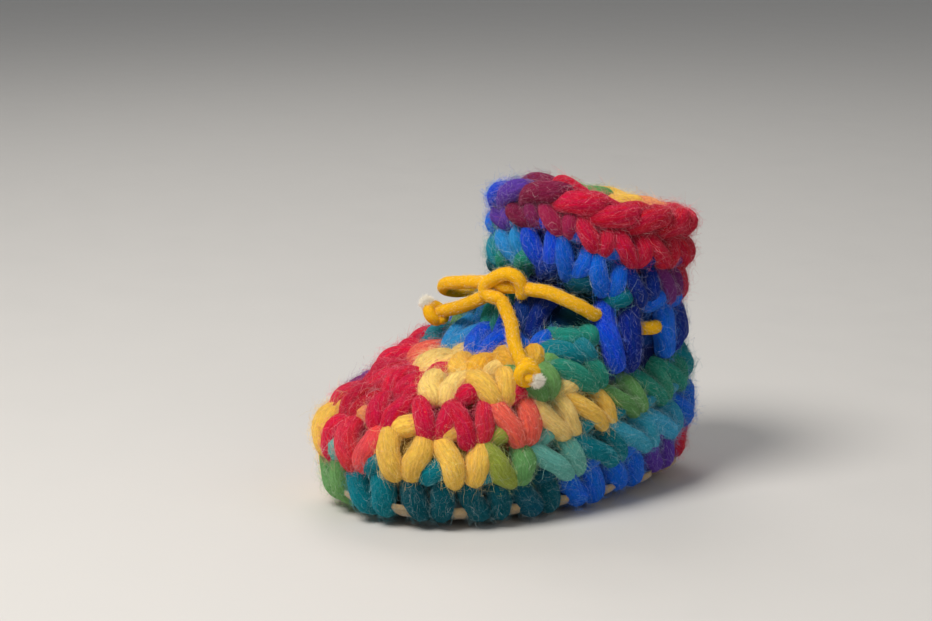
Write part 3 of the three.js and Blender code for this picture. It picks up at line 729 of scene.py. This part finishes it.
def hairs(name, surface):
    """A layer of fine fibres that lie along a surface, stand a little off it and curl."""
    count, knots, length, lift, curl, width, pale = LAYERS[name]
    points, normals, ways, tints, shows = surface
    pick = rng.choice(len(points), count, p=shows / shows.sum())
    p, n, w = points[pick], normals[pick], ways[pick]
    size = rng.uniform(*length, (count, 1))
    sign = rng.choice([-1.0, 1.0], (count, 1))
    direction = unit(w * sign + np.cross(n, w) * rng.normal(0, HAIR_STRAY, (count, 1)))
    bow, wave = rng.normal(0, curl, (2, count, 1))
    line = curls(p, direction, np.cross(n, direction), size, bow, wave, knots)
    high = np.abs(rng.normal(0, 1, (count, 1, 1))) * lift
    t = np.linspace(0, 1, knots)[None, :, None]
    off = high * t * (HAIR_RISE - HAIR_FALL * t) + np.where(t > 0, HAIR_CLEAR, HAIR_ROOT)
    line = line + n[:, None] * off
    line[..., 2] = np.maximum(line[..., 2], FLOOR_CLEAR)
    mix = rng.uniform(*pale, (count, 1)) ** 2
    lit = tints[pick] ** FIBRE_LIFT
    colour = (lit * (1 - mix) + linear(PALE_FIBRE) * mix) * rng.uniform(*HAIR_TONES, (count, 1))
    return ribbons(name, line, np.cross(direction, rng.normal(0, 1, (count, 3))), width, colour)


# Drawstring

CORD_SIDES = 24
CORD_LUMPS = 0.012
CORD_FACING = (0.3, -0.5, 0.8)
CORD_TONE_VARIES = 0.04


def cord_piece(name, node, paths, radius=CORD / 2):
    """A piece of one or more soft cords that stands for a node."""
    strands = Strands(CORD_SIDES)
    for path in paths:
        tint = linear(CORD_YELLOW) * (1 + CORD_TONE_VARIES * rng.standard_normal())
        strands.add(path, radius, tint, CORD_FACING, CORD_LUMPS, twist=0.0)
    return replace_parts(finished(strands.make(name), COTTON), node), strands


def make_drawstring():
    ring = [wall(ANKLE, share_at(ANKLE, turn), out) - (0, 0, drop) for turn, out, drop in RUN]
    _, run = cord_piece("drawstring_run", "cord_run", [even_line([*BAR, *ring])])
    loop_path = even_line(LOOP)
    slack, loop = cord_piece("drawstring_loop", "cord_loop", [loop_path])
    knot_paths = [even_line(route @ KNOT_AXES + KNOT_CENTRE) for route in (KNOT_RING, KNOT_CORE)]
    _, knot = cord_piece("drawstring_knot", "cord_knot", knot_paths)
    made = [run, loop, knot]
    for side, route in (("side", END_SIDE), ("toe", END_TOE)):
        made += make_end(side, route)
    finished(hairs("drawstring_lint", joined_surface(made)), FIBRE)


# Where each end's cut tip points, beyond its knot: along the cord, towards the eye's right and up.
TIP_TURN = {"side": (0.35, 0.9, -0.1), "toe": (0.15, -0.25, 0.9)}
TIP_LENGTH = {"side": 1.9, "toe": 3.2}
TIP_START = 0.45 * END_KNOT_HALF
EYE_RIGHT = (0.5, 0.87, 0)
PINCH, PINCH_REACH = 0.5, 3.4  # the cord is thinner inside its end knot
WRAP_TURNS, WRAP_START = 1.4, -2.2
WRAP_REACH, WRAP_RADIUS = 2.1, 1.9
WRAP_RISE, WRAP_WAVE = 2.6, 0.9
WRAP_POINTS = 30


def make_end(side, route):
    """An end of the drawstring, its overhand knot and its frayed tip."""
    path = even_line(route)
    way = unit(path[-1] - path[-4])
    centre = path[-1] + way * (END_KNOT_HALF + GAP)
    right = unit(np.cross(way, (0, 0, 1)))
    if right @ EYE_RIGHT < 0:
        right = -right
    along, over, up = TIP_TURN[side]
    turn = unit(way * along + right * over + np.array((0, 0, 1.0)) * up)
    out = centre + way * TIP_START
    tip = out + turn * TIP_LENGTH[side]
    whole = even_line([*route, centre, out, tip])
    from_knot = np.linalg.norm(whole - centre, axis=1)
    thickness = CORD / 2 - PINCH * np.exp(-((from_knot / PINCH_REACH) ** 4))
    piece, cord = cord_piece("drawstring_end_" + side, "cord_end_" + side, [whole], thickness)
    share = np.linspace(0, 1, WRAP_POINTS)[:, None]
    angle = 2 * np.pi * WRAP_TURNS * share + WRAP_START
    top = np.cross(right, way)
    ring = centre + WRAP_REACH * (right * np.cos(angle) + top * np.sin(angle))
    ring = ring + way * ((share - 0.5) * WRAP_RISE + WRAP_WAVE * np.sin(angle))
    wrap_paths = [even_line(ring)]
    knot, wrap = cord_piece("end_knot_wrap_" + side, "end_knot_" + side, wrap_paths, WRAP_RADIUS)
    fray = make_fray(side, tip, turn)
    return cord, wrap


FRAY_LENGTH = {"side": (0.6, 1.5), "toe": (0.6, 1.7)}
FRAY_SIZE, FRAY_FILL = 1.9, 0.4
FRAY_SHIFT = 0.4
FRAY_ALONG, FRAY_SPLAY, FRAY_STRAY, FRAY_CURL = 0.3, 0.5, 0.5, 0.9
FRAY_KNOTS, FRAY_WIDTH = 4, 0.12
FRAY_TONES = (0.9, 1.1)


def make_fray(side, tip, way):
    """The cord's white core fibres, splayed where it was cut."""
    count = 2400
    spot = unit(rng.normal(0, 1, (count, 3))) * FRAY_SIZE * rng.uniform(0, 1, (count, 1)) ** FRAY_FILL
    base = tip + way * FRAY_SHIFT + spot
    ways = unit(way * FRAY_ALONG + spot * FRAY_SPLAY + rng.normal(0, FRAY_STRAY, (count, 3)))
    normals = unit(np.cross(ways, rng.normal(0, 1, (count, 3))))
    size = rng.uniform(*FRAY_LENGTH[side], (count, 1))
    knots = curls(base, ways, normals, size, *rng.normal(0, FRAY_CURL, (2, count, 1)), FRAY_KNOTS)
    tint = linear(FRAY_WHITE) * rng.uniform(*FRAY_TONES, (count, 1))
    obj = ribbons("frayed_tip_" + side, knots, np.cross(ways, normals), FRAY_WIDTH, tint)
    return finished(obj, FIBRE)


make_drawstring()


# Crocheted wool

# The strands of a stitch: right of its middle in stitches, up in rows, out from the wall and thickness.
LEFT_LEG = [(-0.36, 0.98, -2.2, 0.8), (-0.35, 0.78, 1.2, 0.96), (-0.27, 0.48, 2.9, 1.06),
            (-0.17, 0.18, 3.0, 1.06), (-0.09, -0.06, 1.9, 0.98), (-0.04, -0.20, 0.2, 0.88)]
RIGHT_LEG = [(0.38, 0.95, -2.2, 0.8), (0.39, 0.74, 1.0, 0.96), (0.34, 0.46, 2.5, 1.05),
             (0.26, 0.18, 2.5, 1.04), (0.19, -0.06, 1.3, 0.96), (0.15, -0.19, -0.2, 0.86)]
HEAD = [(-0.27, -0.20, -1.2, 0.85), (-0.17, -0.02, 0.9, 1.0), (0.0, 0.13, 1.8, 1.04), (0.17, 0.13, 0.8, 0.98),
        (0.28, 0.0, -1.6, 0.85)]
LEFT_POST = [(-0.20, 1.06, -1.4, 0.7), (-0.25, 0.92, 0.8, 0.9), (-0.25, 0.6, 2.2, 1.0),
             (-0.22, 0.25, 2.2, 1.0), (-0.16, 0.03, 1.4, 0.95), (-0.12, -0.06, 0.2, 0.9)]
RIGHT_POST = [(0.26, 1.06, -1.4, 0.7), (0.29, 0.90, 0.8, 0.9), (0.27, 0.58, 2.2, 1.0), (0.24, 0.24, 2.1, 1.0),
              (0.18, 0.02, 1.3, 0.95), (0.14, -0.07, 0.1, 0.9)]
POST_PITCH, POST_RADIUS, POST_HEAD_RADIUS = 14.5, 3.7, 3.3
POST_HEAD_DROP = 0.1  # in rounds
LEG_SHARE = 0.23  # a leg's radius, in stitches
LEG_LIMITS = (2.95, 3.5)
LEG_STEPS = 22
HEAD_SIZE = 0.98  # of a leg's radius
LEAN = -0.75  # how far a stitch's top leans from its foot along the sides, in stitches
LEAN_SHARES = (0.08, 0.3)  # how far round from the toe the lean begins and is full
LEAN_PIVOT = 0.45
COLLAR_LEAN = -0.42
COLLAR_SQUEEZE = 0.88  # the collar's stitches are shorter
LEAN_THINS = 0.2  # how much thinner a stitch is that leans fully
HEAD_LEAN = 0.4
PROUD = 3.0  # how far the stitches' middles stand out, as they fill a longer round there
STITCH_VARIES = (0.02, 0.02, 0.12, 0.02)  # in the columns of a strand's table
PLACE_VARIES, SIZE_VARIES, DYE_VARIES = 0.06, 0.04, 0.06
NEXT_DYE = 0.35  # the most that a strand takes of its neighbour's dye
FAR_DYE, FAR_MIX = 0.6, 0.2  # dyes further apart than this mix by only this share of it
DYE_EDGE = 1.6  # how sharply one stitch's dye gives way to the next one's


def chart_dye(name, share):
    """The dye of a row at a share of its round, blended between neighbouring stitches."""
    row = CHART[name]
    dyes = np.array([linear(DYES[dye]) for dye in row.dyes_of(0)])
    at = np.asarray(share, float) * row.count - row.first
    k = np.floor(at).astype(int)
    t = np.clip((at - k - 0.5) * DYE_EDGE + 0.5, 0, 1)[..., None]
    return dyes[k % len(dyes)] * (1 - t) + dyes[(k + 1) % len(dyes)] * t


def strand_dye(name, share, part=0, steps=LEG_STEPS):
    """The dyes along one strand of the stitch at a share: mostly one dye, running into the next stitch's."""
    row = CHART[name]
    dyes = row.dyes_of(part)
    k = int(round(share % 1.0 * row.count - row.first))
    own, other = [linear(DYES[dyes[i % len(dyes)]]) for i in (k, k + rng.choice([-1, 1]))]
    most = NEXT_DYE * rng.uniform(0, 1) ** 2
    if np.abs(np.sqrt(own) - np.sqrt(other)).sum() > FAR_DYE:
        most *= FAR_MIX
    mix = np.linspace(0, most, steps)[:, None]
    return own * (1 - mix) + other * mix


def leaning(share, level):
    """The lean of the stitches here: none at the toe, and less on the collar."""
    if level >= POSTS_END:
        return COLLAR_LEAN
    return LEAN * smooth(*LEAN_SHARES, abs(share % 1.0 - 0.5))


def varied(shape, spread):
    return np.array(shape) + rng.normal(0, 1, (len(shape), 4)) * spread


def add_strand(strands, shape, low, high, share, pitch, radius, tint, lean=0.0):
    """One strand of a stitch, laid on the wall."""
    rough = varied(shape, STITCH_VARIES)
    if low >= POSTS_END:
        rough[:, 1] = 0.5 + (rough[:, 1] - 0.5) * COLLAR_SQUEEZE
    form = spline(rough, crowded(LEG_STEPS))
    level = low + (high - low) * form[:, 1]
    levels, shares = column(low, high, share)
    right = form[:, 0] + lean * (form[:, 1] - LEAN_PIVOT)
    at = np.interp(level, levels, shares) - right * pitch / round_length(level)
    points = wall(level, at, form[:, 2])
    size = radius * form[:, 3] * (1 + SIZE_VARIES * rng.standard_normal())
    tint = tint * (1 + DYE_VARIES * rng.standard_normal())
    strands.add(points, size, tint, outward((low + high) / 2, share))


def wool_piece(strands, name):
    finished(strands.make("wool_" + name), WOOL)
    return strands


def make_round(name, below):
    """The V stitches of a round, with the heads of the round below between their feet."""
    row = CHART[name]
    strands = Strands()
    pitch = float(round_length(row.half_way())) / row.count
    widest = np.clip(LEG_SHARE * (pitch + 2 * np.pi * PROUD / row.count), *LEG_LIMITS)
    for share in row.shares():
        if name in SHORT_ROWS and wall(row.half_way(), share, 0)[1] > SHORT_END_Y:
            continue
        share += rng.normal(0, PLACE_VARIES) / row.count
        lean = leaning(share, row.low)
        radius = widest * (1 - LEAN_THINS * abs(lean / LEAN))
        for leg, shape in enumerate((LEFT_LEG, RIGHT_LEG)):
            tint = strand_dye(name, share, leg)
            add_strand(strands, shape, row.low, row.high, share, pitch, radius, tint, lean)
        if below:
            spot = share + (0.5 + HEAD_LEAN * lean) / row.count
            tint = strand_dye(below, spot, 2)
            add_strand(strands, HEAD, row.low, row.high, spot, pitch, HEAD_SIZE * radius, tint)
    return wool_piece(strands, name)


def make_posts():
    """The tall stitches over the heel, with the drawstring between them, and the heads above them."""
    strands = Strands()
    low, high = POST_LEVELS
    for turn, *dyes in POSTS:
        levels, shares = column(low, 2 * ANKLE - low, share_at(ANKLE, turn))
        share = float(np.interp((low + high) / 2, levels, shares))
        for shape, dye in zip((LEFT_POST, RIGHT_POST), dyes):
            tint = np.tile(linear(DYES[dye]), (LEG_STEPS, 1))
            add_strand(strands, shape, low, high, share, POST_PITCH, POST_RADIUS, tint)
    cuff = CHART["cuff"]
    pitch = float(round_length(cuff.low)) / cuff.count
    low = cuff.low - POST_HEAD_DROP
    for share in cuff.shares(0.5):
        tint = strand_dye("throat", share)
        add_strand(strands, HEAD, low, cuff.high, share, pitch, POST_HEAD_RADIUS, tint)
    return wool_piece(strands, "posts")


# One leg of a stitch that holds the sole. On the wall: right of the stitch's middle, up, out and thickness.
CLAW = [(-0.2, 1.0, -1.4, 0.8), (-0.25, 0.76, 0.9, 0.98), (-0.235, 0.42, 2.0, 1.04),
        (-0.175, 0.12, 2.2, 1.02)]
# Under the sole: right of the middle, inwards from the suede's edge, height and radius.
CLAW_UNDER = [(-0.135, -1.2, 4.4, 2.9), (-0.09, 2.2, 3.1, 2.1), (-0.05, 5.4, 2.25, 1.5),
              (-0.02, 7.3, 2.4, 1.15)]
CLAW_TIP_RISE, CLAW_TIP_RADIUS = 2.4, 0.9
CLAW_RADIUS = 3.55
CLAW_STEPS = 34
CLAW_LEAN, CLAW_PIVOT = 0.5, 0.1  # of the lean of the stitches above, and how far up it turns
CLAW_VARIES = 0.2
CLAW_FACES = 0.3  # the level that a claw faces out from
HEEL_LIFT = 3.4  # the claws hang less low round the heel
HEEL_TURNS = (0.15, 0.95)  # cosines of the turns where that begins and is full
LIFT_INSET = 6.0


def make_claws():
    """The first round: each stitch wraps the suede's edge and goes up its hole."""
    row = CHART["sole"]
    strands = Strands()
    for share in row.shares():
        lean = CLAW_LEAN * leaning(share, row.low)
        lift = HEEL_LIFT * smooth(*HEEL_TURNS, math.cos(2 * math.pi * share))
        for side in (-1, 1):
            line = []
            for x, up, out, size in CLAW:
                at = share + (side * x - lean * (up - CLAW_PIVOT)) / row.count
                spot = wall(row.low + (row.high - row.low) * up, at, out + rng.normal(0, CLAW_VARIES))
                line.append((*(spot + (0, 0, lift * (1 - up))), size * CLAW_RADIUS))
            for x, inset, height, radius in CLAW_UNDER:
                spot = plan(share + side * x / row.count, SUEDE_INSET + inset)
                line.append((*spot[:2], height + lift * max(0, 1 - inset / LIFT_INSET), radius))
            spot = plan(share, SUEDE_INSET + HOLE_INSET)
            top = suede_under(np.array(share), np.array(HOLE_INSET)) + CLAW_TIP_RISE
            line.append((*spot[:2], top, CLAW_TIP_RADIUS))
            fine = spline(line, np.linspace(0, 1, CLAW_STEPS))
            tint = strand_dye("sole", share, steps=CLAW_STEPS)
            strands.add(fine[:, :3], fine[:, 3], tint, outward(CLAW_FACES, share))
    return wool_piece(strands, "sole")


# The chain at the collar: along the round in stitches, up from the rim's round in mm, out, thickness.
OUTER_CHAIN = [(0.84, -3.4, -1.0, 0.5), (0.6, -2.6, 1.2, 0.85), (0.2, -1.0, 2.7, 1.05),
               (-0.25, 0.4, 2.6, 1.05), (-0.6, 1.5, 1.0, 0.8), (-0.84, 2.0, -1.4, 0.5)]
INNER_CHAIN = [(0.80, 2.6, 0.4, 0.5), (0.5, 2.6, -1.2, 0.9), (0.0, 1.8, -2.2, 1.05), (-0.5, 0.6, -1.6, 0.85),
               (-0.8, -0.6, 0.2, 0.5)]
CHAIN_RADIUS = (3.2, 3.0)
CHAIN_LEVEL = 9.75
CHAIN_STEPS = 26
CHAIN_VARIES = (0.025, 0.2, 0.2, 0.03)  # in the columns of a chain's table
CHAIN_PLACE_VARIES = 0.04


def make_rim():
    """The chain round the collar's edge: an outer and an inner strand for each stitch."""
    row = CHART["rim"]
    strands = Strands()
    for k in range(row.count):
        for shape, radius in zip((OUTER_CHAIN, INNER_CHAIN), CHAIN_RADIUS):
            share = (k + row.first + rng.normal(0, CHAIN_PLACE_VARIES)) / row.count
            form = spline(varied(shape, CHAIN_VARIES), crowded(CHAIN_STEPS))
            points = wall(CHAIN_LEVEL, share + form[:, 0] / row.count, form[:, 2])
            points[:, 2] += form[:, 1]
            tint = strand_dye("rim", share, steps=CHAIN_STEPS)
            strands.add(points, radius * form[:, 3], tint, outward(RIM, share))
    return wool_piece(strands, "rim")


BACK_COLUMNS = 160
BACK_LEVELS = (0.62, 9.95)
BACK_ROWS = (28, 40)  # on the outside and on the inside
BACK_OUT, BACK_IN = 0.4, -2.5
BACK_RIDGE, RIDGE_POWER = 1.6, 0.6
BACK_SLANT = 0.5
BACK_DIP = 0.25  # the share of a ridge's height that is left between its bars
BACK_SHADE = 0.3  # the wool behind the stitches is in their shade
BACK_LENGTH, BACK_HEIGHT = 200, 3  # of a round and of a row, for the fibres of the wool
ROW_SLACK = 0.01


def make_backing():
    """The wall behind the stitches. Its inside shows the back of each round as a ridge of small bars."""
    shares = np.arange(BACK_COLUMNS) / BACK_COLUMNS
    outside, inside = [np.linspace(*BACK_LEVELS, count) for count in BACK_ROWS]
    levels = [*outside, *inside[::-1]]
    points, tints, places = [], [], []
    for i, level in enumerate(levels):
        fits = (name for name, row in CHART.items() if row.low - ROW_SLACK <= level <= row.high)
        name = next(fits, "throat")
        row = CHART[name]
        out, shade = BACK_OUT, BACK_SHADE
        if i >= len(outside):
            up = np.clip((level - row.low) / (row.high - row.low), 0, 1)
            bars = np.abs(np.sin(np.pi * (shares * row.count - row.first + BACK_SLANT * up)))
            ridge = BACK_RIDGE * np.sin(np.pi * up) ** RIDGE_POWER
            out, shade = BACK_IN - ridge * (BACK_DIP + (1 - BACK_DIP) * bars), 1.0
        points.append(wall(level, shares, out))
        tints.append(chart_dye(name, shares) * shade)
        places.append(np.stack(np.broadcast_arrays(shares * BACK_LENGTH, level * BACK_HEIGHT, 0.0), 1))
    index = np.arange(len(levels) * BACK_COLUMNS).reshape(-1, BACK_COLUMNS)
    above, turned = np.roll(index, -1, 0), np.roll(index, -1, 1)
    quads = np.stack([above, np.roll(above, -1, 1), turned, index], -1).reshape(-1, 4)
    arrays = [np.concatenate(a) for a in (tints, places)]
    obj = to_mesh("wool_backing", np.concatenate(points), quads, *arrays)
    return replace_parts(finished(obj, WOOL), "upper")


# The back of a stitch, inside: a bar along the round and a slanting one under it. Right of its middle in
# stitches, up in rows, out from the wall and thickness.
BACK_BARS = [
    [(-0.62, 0.86, -2.6, 0.7), (-0.3, 0.82, -4.0, 0.95), (0.05, 0.74, -4.4, 1.05), (0.4, 0.7, -4.0, 0.95),
     (0.66, 0.7, -2.6, 0.7)],
    [(-0.5, 0.5, -2.6, 0.7), (-0.25, 0.42, -3.8, 0.95), (0.0, 0.3, -4.2, 1.0), (0.25, 0.18, -3.8, 0.95),
     (0.5, 0.1, -2.6, 0.7)],
]
BACK_BAR_RADIUS = 2.4
BACK_BAR_STEPS = 9
BACK_BAR_SIDES = 8
CRAMPED = ("instep", "tongue")  # these have no room inside the heel


def make_inside():
    """The backs of the stitches, inside the wall."""
    strands = Strands(BACK_BAR_SIDES)
    for name, row in CHART.items():
        if name == "sole":
            continue
        for share in row.shares():
            if name in CRAMPED and wall(row.half_way(), share, 0)[1] > SHORT_END_Y:
                continue
            for shape in BACK_BARS:
                form = spline(varied(shape, STITCH_VARIES), crowded(BACK_BAR_STEPS))
                level = row.low + (row.high - row.low) * form[:, 1]
                points = wall(level, share + form[:, 0] / row.count, form[:, 2])
                tint = strand_dye(name, share, steps=BACK_BAR_STEPS)
                size = BACK_BAR_RADIUS * form[:, 3]
                strands.add(points, size, tint, -outward(row.half_way(), share))
    wool_piece(strands, "inside")


made = [make_claws()]
for name, below in (("foot", "sole"), ("side", "foot"), ("vamp", "side"), ("instep", "vamp"),
                    ("tongue", "instep"), ("throat", "tongue"), ("cuff", None), ("band", "cuff")):
    made.append(make_round(name, below))
made += [make_posts(), make_rim()]
make_backing()
wool = joined_surface(made)
for name in ("wool_fuzz", "wool_down", "wool_halo"):
    finished(hairs(name, wool), FIBRE)
make_inside()


# Suede sole and fleece insole

PLATE_CURVED = 12.7  # rings further in than this are drawn in to the spine
SPINE_TOE, SPINE_HEEL = -20.0, 22.0
SPINE_SHARE = 0.38
LID_SHARES = (0.65, 0.3)  # rings of a plate's flat lids, as shares of the ring round them


def make_plate(name, insets, edge, under, over, columns, out=None):
    """A dished plate through rings of the bottom's plan, with a lid of rings above and below."""
    shares = np.arange(columns) / columns
    rings = []
    for order, height in ((insets[::-1], under), (insets, over)):
        for inset in order:
            at = np.full(columns, inset)
            ring = plan(shares, np.minimum(edge + at, PLATE_CURVED) - (out(shares, at) if out else 0))
            drawn = SPINE_SHARE * max(0, edge + inset - PLATE_CURVED) / (edge + insets[-1] - PLATE_CURVED)
            spine = np.stack([0 * shares, np.clip(ring[:, 1], SPINE_TOE, SPINE_HEEL), 0 * shares], 1)
            ring = ring * (1 - drawn) + spine * drawn
            ring[:, 2] = height(shares, at)
            rings.append(ring)
    below, above = [[ring * (share, share, 1) for share in LID_SHARES] for ring in (rings[0], rings[-1])]
    rings = [*below[::-1], *rings, *above]
    points = np.concatenate([*rings, [[0, 0, rings[0][0, 2]], [0, 0, rings[-1][0, 2]]]])
    n = len(rings)
    index = np.arange(n * columns).reshape(n, columns)
    turned = np.roll(index, -1, 1)
    quads = np.stack([index[:-1], index[1:], turned[1:], turned[:-1]], -1).reshape(-1, 4)
    low = [(n * columns, index[0][i], turned[0][i]) for i in range(columns)]
    high = [(n * columns + 1, turned[-1][i], index[-1][i]) for i in range(columns)]
    return to_mesh(name, points, [*quads, *low, *high])


SOLE_POINT, POINT_INSET = 6.4, 7.0  # how far the suede stands out between the claws, and where that ends
POINT_DROP = 3.4
POINT_CURL = ((0, 1.2, 3, 9), (0.35, 0.75, 1, 0))  # insets from the edge, and shares of the drop there
POINT_WIDTH, POINT_POWER = 0.6, 1.3
EDGE_INSET, EDGE_SHARE = 0.2, 0.75  # the suede is thinner at its very edge
SOLE_INSETS = np.concatenate([[0, 0.35], np.linspace(1, FLAT_INSET, 26)])
SOLE_COLUMNS = 340
CUTTER_SIDES = 14
CUTTER_HEIGHTS = np.linspace(-4, 14, 4)


def sole_points(share):
    """How far the suede's edge stands out between the claws, from 0 to 1."""
    row = CHART["sole"]
    wave = np.cos(2 * np.pi * (share * row.count - row.first))
    return np.clip(POINT_WIDTH - POINT_WIDTH * wave, 0, 1) ** POINT_POWER


def make_sole():
    def under(share, inset):
        return suede_under(share, inset) - POINT_DROP * sole_points(share) * np.interp(inset, *POINT_CURL)

    def over(share, inset):
        return under(share, inset) + SUEDE * np.where(inset < EDGE_INSET, EDGE_SHARE, 1.0)

    def out(share, inset):
        return SOLE_POINT * sole_points(share) * np.clip(1 - inset / POINT_INSET, 0, 1)

    sole = make_plate("suede_sole", SOLE_INSETS, SUEDE_INSET, under, over, SOLE_COLUMNS, out)
    cutter = Strands(CUTTER_SIDES)
    for share in CHART["sole"].shares():
        spot = plan(share, SUEDE_INSET + HOLE_INSET)
        line = np.stack([spot + np.array((0, 0, z)) for z in CUTTER_HEIGHTS])
        cutter.add(line, HOLE_RADIUS, np.zeros(3), (1, 0, 0), lumps=0.0, capped=False)
    holes = cutter.make("sole_holes")
    cut = sole.modifiers.new("holes", "BOOLEAN")
    cut.object = holes
    cut.solver = "EXACT"
    bpy.context.view_layer.update()
    done = bpy.data.meshes.new_from_object(sole.evaluated_get(bpy.context.evaluated_depsgraph_get()))
    sole.modifiers.clear()
    sole.data = done
    bpy.data.objects.remove(holes)
    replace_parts(finished(sole, SUEDE_SKIN), "sole")


FLEECE_SHIFT = FLEECE_INSET - SUEDE_INSET
FLEECE_INSETS = np.concatenate([[0, 0.6], np.linspace(1.2, FLAT_INSET - FLEECE_SHIFT, 22)])
FLEECE_COLUMNS = 220
FLEECE_EDGE, FLEECE_ROUND = 0.5, 2.4  # share of its thickness at the edge, and how slowly that grows
FLEECE_LUMP, LUMP_INSET = 0.35, 1.0
LUMP_WAVES = ((420, 2.1), (130, 1.7))  # how fast each wave of the lumps turns round the plate and inwards
PILE_UP = 0.3  # the pile grows where the fleece faces up more than this


def make_insole():
    def under(share, inset):
        return suede_under(share, inset + FLEECE_SHIFT) + SUEDE + 2 * GAP

    def over(share, inset):
        first, second = [np.sin(share * around + inset * inwards) for around, inwards in LUMP_WAVES]
        thick = FLEECE * np.clip(FLEECE_EDGE + inset / FLEECE_ROUND, FLEECE_EDGE, 1)
        return under(share, inset) + thick + FLEECE_LUMP * first * second * (inset > LUMP_INSET)

    fleece = make_plate("fleece_insole", FLEECE_INSETS, FLEECE_INSET, under, over, FLEECE_COLUMNS)
    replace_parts(finished(fleece, fleece_material()), "insole")
    points = np.array([v.co for v in fleece.data.vertices]) / MM
    normals = np.array([v.normal for v in fleece.data.vertices])
    top = normals[:, 2] > PILE_UP
    ways = unit(np.cross(normals[top], rng.normal(0, 1, (top.sum(), 3))))
    tints = np.tile(linear(FLEECE_CREAM), (top.sum(), 1))
    pile = (points[top], normals[top], ways, tints, np.ones(top.sum()))
    finished(hairs("fleece_pile", pile), FIBRE)


make_sole()
make_insole()
